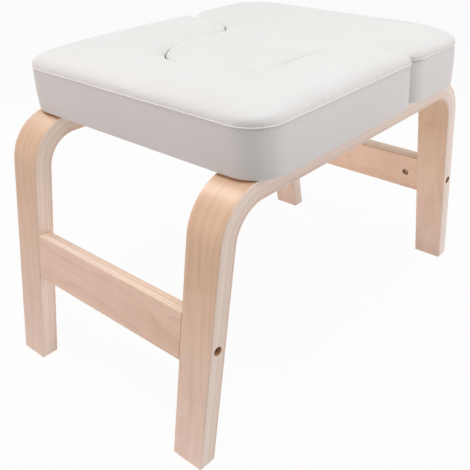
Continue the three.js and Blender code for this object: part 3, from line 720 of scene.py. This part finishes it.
# %% Cutters for the drilled holes
def drill(name, centre, axis, radius, length, sides=40):
    mesh = bpy.data.meshes.new(name)
    built = bmesh.new()
    bmesh.ops.create_cone(built, cap_ends=True, segments=sides, radius1=radius, radius2=radius,
                          depth=length)
    turn = Vector(axis).to_track_quat("Z", "Y").to_matrix().to_4x4()
    bmesh.ops.transform(built, matrix=Matrix.Translation(centre) @ turn, verts=built.verts)
    for face in built.faces:
        face.smooth = len(face.verts) == 4
    built.to_mesh(mesh)
    built.free()
    mesh.materials.append(bore_wood)
    cutter = bpy.data.objects.new(name, mesh)
    bpy.context.scene.collection.objects.link(cutter)
    return cutter


def drilled(piece, cutters):
    """Cuts the holes and leaves a plain mesh, the cutters gone."""
    for cutter in cutters:
        modifier = piece.modifiers.new("hole", "BOOLEAN")
        modifier.operation, modifier.solver, modifier.object = "DIFFERENCE", "EXACT", cutter
        modifier.material_mode = "TRANSFER"
    bpy.context.view_layer.update()
    evaluated = piece.evaluated_get(bpy.context.evaluated_depsgraph_get())
    old = piece.data
    piece.modifiers.clear()
    piece.data = bpy.data.meshes.new_from_object(evaluated)
    piece.data.name = piece.name
    piece.data.set_sharp_from_angle(angle=math.radians(32))
    bpy.data.meshes.remove(old)
    for cutter in cutters:
        bpy.data.objects.remove(cutter)
    return piece


# %% Make the two bands
RAIL_Z, RAIL_TALL, RAIL_THICK, RAIL_BACK = 152 * MM, 59.5 * MM, 19 * MM, 0.5 * MM
rail_middle = RAIL_BACK + RAIL_THICK / 2
bolt_y = FOOT_Y - LEAN * RAIL_Z - rail_middle * math.cos(lean_angle)
bolt_z = RAIL_Z - rail_middle * math.sin(lean_angle)
leg_half = (FOOT_WIDTH + (TOP_WIDTH - FOOT_WIDTH) * RAIL_Z / FRAME_TOP) / 2
PAD_BOLT_YS, PEG_Y = (-140 * MM, 30 * MM), 150 * MM
HEAD_HOLE, SHANK_HOLE, PAD_HOLE, PEG_HOLE, NUT_HOLE = (v * MM for v in (5.6, 3.2, 3.5, 5.6, 5.3))
HEAD_DEPTH, PEG_DEPTH, NUT_FROM_END = (v * MM for v in (12, 14, 21.2))
RIGHT_THROUGH, SMALL_SIDES, PEG_SIDES = 70 * MM, 24, 32


def side_frame(side, name):
    section = rounded_section("band_section", TOP_WIDTH, BAND, 1.5 * MM)
    piece = grow(sweep, curve_object("band_path", whole_path, False), name, {
        "Section": section, "Half Width": TOP_WIDTH / 2, "Foot Share": FOOT_WIDTH / TOP_WIDTH,
        "Full Height": FRAME_TOP, "Finish": band_wood})
    bpy.data.objects.remove(section)
    piece.data.transform(Matrix.Translation((side * FRAME_X, 0, 0)))
    sawn = bmesh.new()
    sawn.from_mesh(piece.data)
    cut = bmesh.ops.bisect_plane(sawn, geom=sawn.verts[:] + sawn.edges[:] + sawn.faces[:],
                                 plane_co=(0, 0, 0), plane_no=(0, 0, -1), clear_outer=True)
    rim = [e for e in cut["geom_cut"] if isinstance(e, bmesh.types.BMEdge)]
    bmesh.ops.holes_fill(sawn, edges=rim)
    bmesh.ops.recalc_face_normals(sawn, faces=sawn.faces[:])
    sawn.to_mesh(piece.data)
    sawn.free()
    outer = side * (FRAME_X + leg_half)
    across, upright, cutters = (1, 0, 0), (0, 0, 1), []
    for end in (-1, 1):
        cutters.append(drill("mouth", (outer, end * bolt_y, bolt_z), across, HEAD_HOLE, 2 * HEAD_DEPTH))
        cutters.append(drill("shank", (side * FRAME_X, end * bolt_y, bolt_z), across, SHANK_HOLE,
                             RIGHT_THROUGH, SMALL_SIDES))
    for y in PAD_BOLT_YS:
        cutters.append(drill("pad_hole", (side * FRAME_X, y, FRAME_TOP), upright, PAD_HOLE,
                             RIGHT_THROUGH, SMALL_SIDES))
    cutters.append(drill("peg_hole", (side * FRAME_X, PEG_Y, FRAME_TOP), upright, PEG_HOLE,
                         2 * PEG_DEPTH, PEG_SIDES))
    drilled(piece, cutters)
    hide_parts(name.replace("_finished", ""))
    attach(piece, "stool")
    return piece


bands = [side_frame(-1, "side_frame_left_finished"), side_frame(1, "side_frame_right_finished")]
print("bands:", [(o.name, len(o.data.polygons), tuple(round(v, 4) for v in o.dimensions)) for o in bands])

# %% [markdown]
# ## Cross rails
# Each rail is a plain board with eased edges, between the legs and leaning with them. It comes
# from the same sweep along a straight path. On a board the layers lie through its thickness, so
# they show on its top and bottom edges. The barrel nuts' holes are drilled from inside.

# %% Make the two rails
rail_half = FRAME_X - leg_half - 0.6 * MM
NUT_REACH, BOLT_REACH = 30 * MM, 80 * MM


def rail(end, name):
    section = rounded_section("rail_section", RAIL_TALL, RAIL_THICK, 1.5 * MM)
    steps = [Vector((rail_half * (1 - k / 10), 0, 0)) for k in range(21)]
    piece = grow(sweep, curve_object("rail_path", steps, False), name, {
        "Section": section, "Half Width": RAIL_TALL / 2, "Foot Share": 1.0, "Full Height": 1.0,
        "Finish": rail_wood})
    bpy.data.objects.remove(section)
    piece.data.transform(Matrix.Rotation(math.pi / 2, 4, "X"))
    cutters = []
    for side in (-1, 1):
        cutters.append(drill("nut_hole", (side * (rail_half - NUT_FROM_END), RAIL_THICK / 2, 0),
                             (0, 1, 0), NUT_HOLE, NUT_REACH))
        cutters.append(drill("bolt_hole", (side * rail_half, 0, 0), (1, 0, 0), SHANK_HOLE,
                             BOLT_REACH, SMALL_SIDES))
    drilled(piece, cutters)
    to_leg = Matrix.Translation((0, LEAN * RAIL_Z - FOOT_Y, RAIL_Z))
    lean = Matrix.Rotation(-lean_angle, 4, "X")
    back = Matrix.Translation((0, rail_middle, 0))
    turn = Matrix.Rotation(math.pi if end > 0 else 0, 4, "Z")
    piece.data.transform(turn @ to_leg @ lean @ back)
    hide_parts(name.replace("_finished", ""))
    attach(piece, "stool")
    return piece


rails = [rail(-1, "near_rail_finished"), rail(1, "far_rail_finished")]
for board in rails:
    low, high = (Vector(board.bound_box[0]), Vector(board.bound_box[6]))
    solid_low, solid_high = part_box(board.name.replace("_finished", ""))
    off = max((low - solid_low).length, (high - solid_high).length)
    print(board.name, "off its solid by", round(off / MM, 2), "mm")

# %% [markdown]
# ## Pad outlines
# Each pad is a board with foam on it, and a cover pulled down over both and stapled under the
# board. Seen from above, both outlines are straight edges joined by arcs. A level of a pad is its
# height and how far it pulls in the sides, the ends and the seam between the pads. Rings at many
# levels, with equal counts of points, make the cover's wall and crown.

# %% Measures of the pads
SIDE_X, NEAR_Y, FAR_Y, SEAM_Y, SEAM_GAP = (v * MM for v in (190, -205, 218, 85, 3))
NECK_X, NECK_Y, NECK_ROUND, ARM_INNER, ARM_OUTER = (v * MM for v in (82, -99, 62, 60, 18))
NEAR_CORNER, FAR_CORNER, INSERT_SIDE, TIGHTEST = (v * MM for v in (38, 43, 17, 5))
PIPING, CROWN, REACH, SEAM_REACH, SEAM_PRESS = (v * MM for v in (0.75, 15, 36, 30, 1.65))
FLARE, CORNER_IN, BULGE, SEAT, SEAM_SEAT, FIT = (v * MM for v in (2.9, 1.5, 0.6, 0.5, 0.4, 0.3))
FULLNESS, SEAM_FULLNESS, CORNER_FOLLOW, TOUCH = 0.75, 1.2, 0.7, 0.2
COVER_FOOT, SKIN, BOARD = FRAME_TOP + FIT, 1.2 * MM, 12 * MM
BOARD_FOOT = COVER_FOOT + SKIN + FIT
WALL_FOOT, WALL_TOP = COVER_FOOT + 2 * MM, PIPING_Z - 3 * MM
SPACING = 5.2 * MM


def wall_level(z, inset=0.0):
    rise = min(max((z - WALL_FOOT) / (WALL_TOP - WALL_FOOT), 0), 1)
    bulge = BULGE * math.sin(math.pi * rise)
    return {"z": z, "side": SEAT - FLARE * (1 - rise) - bulge + inset, "end": SEAT - bulge + inset,
            "seam": SEAM_SEAT + inset, "swell": CORNER_IN * (1 - rise), "tighten": inset}


def inward_at(risen, fullness):
    return 1 - (1 - risen ** (2 / fullness)) ** (fullness / 2)


def crown_level(risen):
    """The crown at a share of its height. At the seam its foot presses on the other pad."""
    reach = REACH * inward_at(risen, FULLNESS)
    pressed = SEAM_PRESS * min(1, risen / 0.08) * min(1, max(0, (0.75 - risen) / 0.35))
    clear = max(0, (risen - TOUCH) / (1 - TOUCH))
    seam_reach = SEAM_REACH * inward_at(clear, SEAM_FULLNESS) - pressed
    return {"z": PIPING_Z + CROWN * risen, "side": SEAT + reach, "end": SEAT + reach,
            "seam": SEAM_SEAT + seam_reach, "swell": -CORNER_FOLLOW * reach, "tighten": max(seam_reach, 0)}


def horseshoe(level):
    side, tip = SIDE_X - level["side"], SEAM_Y - SEAM_GAP / 2 - level["seam"]
    neck = NECK_X + SEAM_GAP / 2 + level["seam"]
    return [(side, NEAR_Y + level["end"], NEAR_CORNER + level["swell"]),
            (side, tip, max(ARM_OUTER - level["tighten"], TIGHTEST)),
            (neck, tip, max(ARM_INNER - level["tighten"], TIGHTEST)),
            (neck, NECK_Y - SEAM_GAP / 2 - level["seam"], NECK_ROUND + level["tighten"])]


def insert(level):
    tongue = NECK_X - SEAM_GAP / 2 - level["seam"]
    side, shoulder = SIDE_X - level["side"], SEAM_Y + SEAM_GAP / 2 + level["seam"]
    return [(tongue, NECK_Y + SEAM_GAP / 2 + level["seam"], max(NECK_ROUND - level["tighten"], TIGHTEST)),
            (tongue, shoulder, ARM_INNER + level["tighten"]),
            (side, shoulder, max(INSERT_SIDE - level["tighten"], TIGHTEST)),
            (side, FAR_Y - level["end"], FAR_CORNER + level["swell"])]


def steps_of(corners):
    """How many arc steps and straight steps each corner of a half outline gets, both sides alike."""
    half = corners + [(-x, y, r) for x, y, r in reversed(corners)]
    counts = []
    for k, (x, y, r) in enumerate(half):
        x2, y2, r2 = half[(k + 1) % len(half)]
        straight = math.hypot(x2 - x, y2 - y) - r - r2
        counts.append((max(5, round(r * math.pi / 2 / SPACING)), max(1, round(straight / SPACING))))
    return counts


def ring(corners, counts, z):
    """The outline at one level, as rows of x, y, z."""
    whole = corners + [(-x, y, r) for x, y, r in reversed(corners)]
    arcs = []
    for k, (x, y, r) in enumerate(whole):
        before, after = Vector(whole[k - 1][:2]), Vector(whole[(k + 1) % len(whole)][:2])
        here = Vector((x, y))
        arrive, leave = (here - before).normalized(), (after - here).normalized()
        turns = [math.pi / 2 * j / counts[k][0] for j in range(counts[k][0] + 1)]
        arcs.append([here + arrive * r * (math.sin(t) - 1) + leave * r * (1 - math.cos(t)) for t in turns])
    points = []
    for k, arc in enumerate(arcs):
        points += arc
        start, stop = arc[-1], arcs[(k + 1) % len(arcs)][0]
        points += [start.lerp(stop, j / counts[k][1]) for j in range(1, counts[k][1])]
    return np.array([(q.x, q.y, z) for q in points])


for shape in (horseshoe, insert):
    base = shape(wall_level(WALL_TOP))
    print(shape.__name__, "ring has", len(ring(base, steps_of(base), 0)), "points")


# %% [markdown]
# ## Covers
# The rings run from the pocket round the board, out under the hem, up the wall, over the seat of
# the piping and up the crown. The middle of the top has no natural rings, so it is filled with
# evenly spread points joined into near-equal triangles. Cloth behaves evenly on such a mesh.

# %% Cover mesh
LATTICE_GAP, ROW_SHARE, RIM_SHARE = 1.1, 0.866, 0.62
WALL_STEPS = 11
CROWN_STEPS = (0, 0.13, 0.25, 0.37, 0.48, 0.59, 0.69, 0.78, 0.86, 0.92, 0.965, 0.99, 1)


def top_filling(rim):
    """Triangles inside the last ring, from a lattice of points kept clear of it."""
    low, high = rim.min(0), rim.max(0)
    gap = SPACING * LATTICE_GAP
    rows = np.arange(low[1], high[1], gap * ROW_SHARE)
    columns = np.arange(low[0] - low[0] % gap - gap, high[0], gap)
    spots = np.array([(x + (j % 2) * gap / 2, y) for j, y in enumerate(rows) for x in columns])
    a, b = rim[:, :2], np.roll(rim[:, :2], -1, 0)
    inside = np.zeros(len(spots), bool)
    nearest = np.full(len(spots), 1.0)
    for p, q in zip(a, b):
        crosses = (p[1] > spots[:, 1]) != (q[1] > spots[:, 1])
        reach = p[0] + (spots[:, 1] - p[1]) * (q[0] - p[0]) / (q[1] - p[1] if q[1] != p[1] else 1e-12)
        inside ^= crosses & (spots[:, 0] < reach)
        along = np.clip(((spots - p) @ (q - p)) / max(((q - p) ** 2).sum(), 1e-14), 0, 1)
        nearest = np.minimum(nearest, np.linalg.norm(spots - (p + along[:, None] * (q - p)), axis=1))
    kept = spots[inside & (nearest > gap * RIM_SHARE)]
    flat = [Vector(q) for q in a] + [Vector(q) for q in kept]
    _, _, faces, origins, _, _ = delaunay_2d_cdt(flat, [], [list(range(len(a)))], 1, 1e-6)
    names = [o[0] for o in origins]
    return kept, [[names[i] for i in face] for face in faces]


def cover_rings(shape):
    """Rings from the pocket round the board, along the hem and up the wall to the crown's top."""
    hem_top, board_top = COVER_FOOT + SKIN + 0.1 * MM, BOARD_FOOT + BOARD + 0.2 * MM
    turned = [(board_top, 2.9), (hem_top, 2.9), (hem_top, 20), (COVER_FOOT, 20), (COVER_FOOT, 12),
              (COVER_FOOT, 6), (COVER_FOOT, 2.4), (COVER_FOOT + 0.2 * MM, 0.9),
              (COVER_FOOT + 0.8 * MM, 0.2)]
    levels = [{**wall_level(WALL_FOOT, inset * MM), "z": z} for z, inset in turned]
    wall_height = WALL_TOP - WALL_FOOT
    levels += [wall_level(WALL_FOOT + wall_height * k / WALL_STEPS) for k in range(WALL_STEPS + 1)]
    seat = crown_level(0)
    levels += [{**seat, "z": WALL_TOP + 1.2 * MM}, {**seat, "z": PIPING_Z - 0.8 * MM}]
    levels += [crown_level(risen) for risen in CROWN_STEPS]
    counts = steps_of(shape(wall_level(WALL_TOP)))
    return [ring(shape(level), counts, level["z"]) for level in levels]


def cover_mesh(name, shape):
    rings = cover_rings(shape)
    n = len(rings[0])
    places = np.vstack(rings)
    faces = [(k * n + i, k * n + (i + 1) % n, (k + 1) * n + (i + 1) % n, (k + 1) * n + i)
             for k in range(len(rings) - 1) for i in range(n)]
    pocket = delaunay_2d_cdt([Vector(q[:2]) for q in rings[0]], [], [list(range(n))], 1, 1e-6)
    names = [o[0] for o in pocket[3]]
    faces += [[names[i] for i in reversed(face)] for face in pocket[2]]
    spots, filling = top_filling(rings[-1])
    start = (len(rings) - 1) * n
    names = list(range(start, start + n)) + list(range(len(places), len(places) + len(spots)))
    top = np.column_stack([spots, np.full(len(spots), rings[-1][0, 2])])
    places = np.vstack([places, top])
    faces += [[names[i] for i in face] for face in filling]
    mesh = bpy.data.meshes.new(name)
    mesh.from_pydata(places.tolist(), [], faces)
    built = bmesh.new()
    built.from_mesh(mesh)
    bmesh.ops.recalc_face_normals(built, faces=built.faces[:])
    open_edges = sum(1 for e in built.edges if len(e.link_faces) != 2)
    built.to_mesh(mesh)
    built.free()
    mesh.validate()
    print(name, len(mesh.vertices), "points,", open_edges, "open edges")
    return mesh, n, len(rings)


# %% [markdown]
# ## Letting the covers fill out
# A sewn cover is held at its hem and where the piping is sewn in, and the foam pushes it out in
# between. Cloth simulation shows how: the hem and the seam are pinned, the rest is pressed from
# inside. How far a point may move grows with its distance from the seam, and the walls that face
# the other pad may hardly move, because that pad is in the way. The foam under a cover is stiffer
# than the cloth, so each point's movement is then evened out with its neighbours'.

# %% Room to move
PINNED_RINGS, RIM_RING = 10, 23
ROOM_PER_RING, WALL_ROOM, FACING_ROOM = (v * MM for v in (0.45, 2.2, 0.5))


def facing_seam(ring_points):
    """True for the points of a ring that face the other pad."""
    inner = (np.abs(ring_points[:, 0]) < SIDE_X - 15 * MM) & (ring_points[:, 1] > NEAR_Y + 20 * MM)
    return inner & (ring_points[:, 1] < FAR_Y - 20 * MM)


def room_to_move(start, row, most):
    """How far each point may move, and which points of the wall face the other pad."""
    room = np.minimum(np.abs(row - RIM_RING) * ROOM_PER_RING, most)
    room[row < PINNED_RINGS] = 0
    wall = (row >= PINNED_RINGS) & (row < RIM_RING)
    room[wall] = np.minimum(room[wall], WALL_ROOM)
    shy = facing_seam(start) & wall
    room[shy] = np.minimum(room[shy], FACING_ROOM)
    return room, shy & (room > 0)


# %% Cloth on a cover
PRESSURE, MOST_SWELL, CLOTH_FRAMES, EVENED = 4.0, 4 * MM, 20, 12
SHY_PIN = 0.6


def pressed_out(piece, room, shy):
    """Where the points of the cover go when it is pressed from inside."""
    pins = piece.vertex_groups.new(name="sewn")
    pins.add(np.nonzero(room <= 0)[0].tolist(), 1.0, "REPLACE")
    pins.add(np.nonzero(shy)[0].tolist(), SHY_PIN, "REPLACE")
    cloth = piece.modifiers.new("press", "CLOTH")
    cloth.settings.quality = 6
    cloth.settings.mass = 0.25
    cloth.settings.tension_stiffness = cloth.settings.compression_stiffness = 22
    cloth.settings.shear_stiffness = 8
    cloth.settings.bending_stiffness = 1.2
    cloth.settings.vertex_group_mass = "sewn"
    cloth.settings.use_pressure = True
    cloth.settings.uniform_pressure_force = PRESSURE
    cloth.settings.effector_weights.gravity = 0
    cloth.collision_settings.use_collision = False
    cloth.point_cache.frame_start, cloth.point_cache.frame_end = 1, CLOTH_FRAMES
    for step in range(1, CLOTH_FRAMES + 1):
        bpy.context.scene.frame_set(step)
    evaluated = piece.evaluated_get(bpy.context.evaluated_depsgraph_get())
    moved = np.empty(len(room) * 3)
    evaluated.data.vertices.foreach_get("co", moved)
    piece.modifiers.remove(cloth)
    bpy.context.scene.frame_set(1)
    return moved.reshape(-1, 3)


def evened_out(mesh, shift, room):
    """Each point's movement drawn towards its neighbours', again and again."""
    links = np.empty(len(mesh.edges) * 2, int)
    mesh.edges.foreach_get("vertices", links)
    one, other = links.reshape(-1, 2).T
    shares = np.bincount(links, minlength=len(shift))[:, None]
    for _ in range(EVENED):
        around = np.zeros_like(shift)
        np.add.at(around, one, shift[other])
        np.add.at(around, other, shift[one])
        shift = np.where(room[:, None] > 0, 0.5 * shift + 0.5 * around / shares, 0)
    return shift


def filled_out(name, shape):
    mesh, n, rows = cover_mesh(name, shape)
    piece = bpy.data.objects.new(name, mesh)
    bpy.context.scene.collection.objects.link(piece)
    start = np.empty(len(mesh.vertices) * 3)
    mesh.vertices.foreach_get("co", start)
    start = start.reshape(-1, 3)
    row = np.minimum(np.arange(len(start)) // n, rows)
    room, shy = room_to_move(start, row, MOST_SWELL)
    moved = pressed_out(piece, room, shy)
    shift = evened_out(mesh, moved - start, room)
    far = np.linalg.norm(shift, axis=1)
    limited = room * np.tanh(far / np.maximum(room, 1e-9))
    kept = np.where(far > 0, limited / np.maximum(far, 1e-12), 0)
    settled = start + shift * kept[:, None]
    most_kept = np.linalg.norm(settled - start, axis=1).max()
    print(name, "free to", round(far.max() / MM, 2), "mm, kept", round(most_kept / MM, 2), "mm")
    mesh.vertices.foreach_set("co", settled.ravel())
    mesh.update()
    return piece


# %% [markdown]
# ## Puckers at the seam
# The top panel is eased onto the piping, so it is drawn in every centimetre or so. These puckers
# are a few tenths of a millimetre deep and die out within a finger's breadth. They go on after the
# smoothing, as noise along the seam pressed into the surface.

# %% Pucker, smooth and hand over the covers
PUCKER_REACH, PUCKER_WIDE, PUCKER_DEEP = (v * MM for v in (10, 5.5, 0.4))


def pucker(mesh):
    for corner in mesh.vertices:
        above = (corner.co.z - PIPING_Z) / PUCKER_REACH
        if 0 < above < 1 and not facing_seam(np.array([corner.co[:]]))[0]:
            pull = noise_at(Vector((corner.co.x, corner.co.y, 0)) / PUCKER_WIDE)
            corner.co += corner.normal * pull * PUCKER_DEEP * math.sin(math.pi * above)


def finish_cover(piece, solids, body):
    piece.vertex_groups.clear()
    smooth = piece.modifiers.new("finer", "SUBSURF")
    smooth.levels = smooth.render_levels = 1
    evaluated = piece.evaluated_get(bpy.context.evaluated_depsgraph_get())
    old = piece.data
    piece.modifiers.clear()
    piece.data = bpy.data.meshes.new_from_object(evaluated)
    piece.data.name = piece.name
    bpy.data.meshes.remove(old)
    pucker(piece.data)
    piece.data.shade_smooth()
    piece.data.materials.clear()
    piece.data.materials.append(cover_leather)
    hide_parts(*solids)
    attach(piece, body)
    top = max(v.co.z for v in piece.data.vertices)
    print(piece.name, len(piece.data.polygons), "faces, top at", round(top / MM, 1))


for pad, shape, body in (("shoulder", horseshoe, "stool"), ("insert", insert, "insert_pad")):
    cover = filled_out(f"{pad}_cover", shape)
    finish_cover(cover, (f"{pad}_pad_cover", f"{pad}_pad_foam"), body)

# %% [markdown]
# ## Piping
# The welt is a thin cord wrapped in the cover's own leather and sewn in between the top and the
# wall. It follows the outline at one level all the way round, so the same sweep makes it.

# %% Make the piping
def piping(name, shape, solid, body):
    level = {"side": SEAT, "end": SEAT, "seam": SEAM_SEAT - 0.4 * MM, "swell": 0, "tighten": 0}
    counts = [(2 * a, 2 * b) for a, b in steps_of(shape(level))]
    route = ring(shape(level), counts, PIPING_Z)
    section = curve_object("welt_section", [(PIPING * math.cos(t), PIPING * math.sin(t), 0)
                                            for t in (2 * math.pi * k / 12 for k in range(12))], True)
    piece = grow(sweep, curve_object("welt_path", route.tolist(), True), name, {
        "Section": section, "Half Width": 1.0, "Foot Share": 1.0, "Full Height": 1.0,
        "Finish": piping_leather})
    bpy.data.objects.remove(section)
    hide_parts(solid)
    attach(piece, body)
    return piece


welts = [piping("shoulder_piping", horseshoe, "shoulder_pad_piping", "stool"),
         piping("insert_piping", insert, "insert_pad_piping", "insert_pad")]
print("piping:", [(o.name, len(o.data.polygons)) for o in welts])

# %% [markdown]
# ## Staples under the hems
# The covers' hems are held to the boards by staples, about one to a thumb's width. They repeat
# along a line, so Geometry Nodes lays them: points along the hem, each with a bent wire turned to
# run with it. None is driven where a pad lies on a side frame, because the crown would hold the
# pad off the wood.

# %% Staple tree
stapled, t_in, t_out = geometry_tree("staples_along", [
    ("Path", "NodeSocketGeometry"), ("Bent Wire", "NodeSocketObject"), ("Spacing", "NodeSocketFloat"),
    ("Wire Radius", "NodeSocketFloat"), ("Clear From", "NodeSocketFloat"), ("Clear To", "NodeSocketFloat"),
    ("Finish", "NodeSocketMaterial")])
spots = stapled.nodes.new("GeometryNodeCurveToPoints")
spots.mode = "LENGTH"
turned = stapled.nodes.new("FunctionNodeAlignRotationToVector")
turned.axis, turned.pivot_axis = "X", "Z"
here = stapled.nodes.new("ShaderNodeSeparateXYZ")
off_middle = number(stapled, "ABSOLUTE", here.outputs["X"], 0.0)
past_inner = number(stapled, "GREATER_THAN", off_middle, t_in.outputs["Clear From"])
before_outer = number(stapled, "LESS_THAN", off_middle, t_in.outputs["Clear To"])
on_frame = number(stapled, "MULTIPLY", past_inner, before_outer)
thinned = stapled.nodes.new("GeometryNodeDeleteGeometry")
wire_path = stapled.nodes.new("GeometryNodeObjectInfo")
wire_round = stapled.nodes.new("GeometryNodeCurvePrimitiveCircle")
wire_round.inputs["Resolution"].default_value = 8
wire_body = stapled.nodes.new("GeometryNodeCurveToMesh")
wire_body.inputs["Fill Caps"].default_value = True
laid = stapled.nodes.new("GeometryNodeInstanceOnPoints")
loose = stapled.nodes.new("GeometryNodeRealizeInstances")
shaded = stapled.nodes.new("GeometryNodeSetShadeSmooth")
clad = stapled.nodes.new("GeometryNodeSetMaterial")
join(stapled, [
    (t_in.outputs["Path"], spots.inputs["Curve"]), (t_in.outputs["Spacing"], spots.inputs["Length"]),
    (spots.outputs["Tangent"], turned.inputs["Vector"]),
    (stapled.nodes.new("GeometryNodeInputPosition").outputs[0], here.inputs[0]),
    (spots.outputs["Points"], thinned.inputs["Geometry"]), (on_frame, thinned.inputs["Selection"]),
    (t_in.outputs["Bent Wire"], wire_path.inputs["Object"]),
    (t_in.outputs["Wire Radius"], wire_round.inputs["Radius"]),
    (wire_path.outputs["Geometry"], wire_body.inputs["Curve"]),
    (wire_round.outputs["Curve"], wire_body.inputs["Profile Curve"]),
    (thinned.outputs[0], laid.inputs["Points"]), (wire_body.outputs[0], laid.inputs["Instance"]),
    (turned.outputs[0], laid.inputs["Rotation"]), (laid.outputs[0], loose.inputs[0]),
    (loose.outputs[0], shaded.inputs[0]), (shaded.outputs[0], clad.inputs["Geometry"]),
    (t_in.outputs["Finish"], clad.inputs["Material"]), (clad.outputs[0], t_out.inputs[0])])


# %% Lay the staples
def staples(name, shape, body):
    level = wall_level(WALL_FOOT, 10 * MM)
    route = ring(shape(level), steps_of(shape(wall_level(WALL_TOP))), COVER_FOOT - 0.15 * MM)
    wire = curve_object("staple_wire", [(x * MM, 0, z * MM) for x, z in (
        (-5, 3), (-5, 0.5), (-4.5, 0), (4.5, 0), (5, 0.5), (5, 3))], False)
    piece = grow(stapled, curve_object("staple_path", route.tolist(), True), name, {
        "Bent Wire": wire, "Spacing": 24 * MM, "Wire Radius": 0.35 * MM, "Clear From": 122 * MM,
        "Clear To": 184 * MM, "Finish": zinc})
    bpy.data.objects.remove(wire)
    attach(piece, body)
    return piece


rows = [staples("shoulder_staples", horseshoe, "stool"), staples("insert_staples", insert, "insert_pad")]
print("staples:", [(o.name, len(o.data.polygons) // 42) for o in rows])
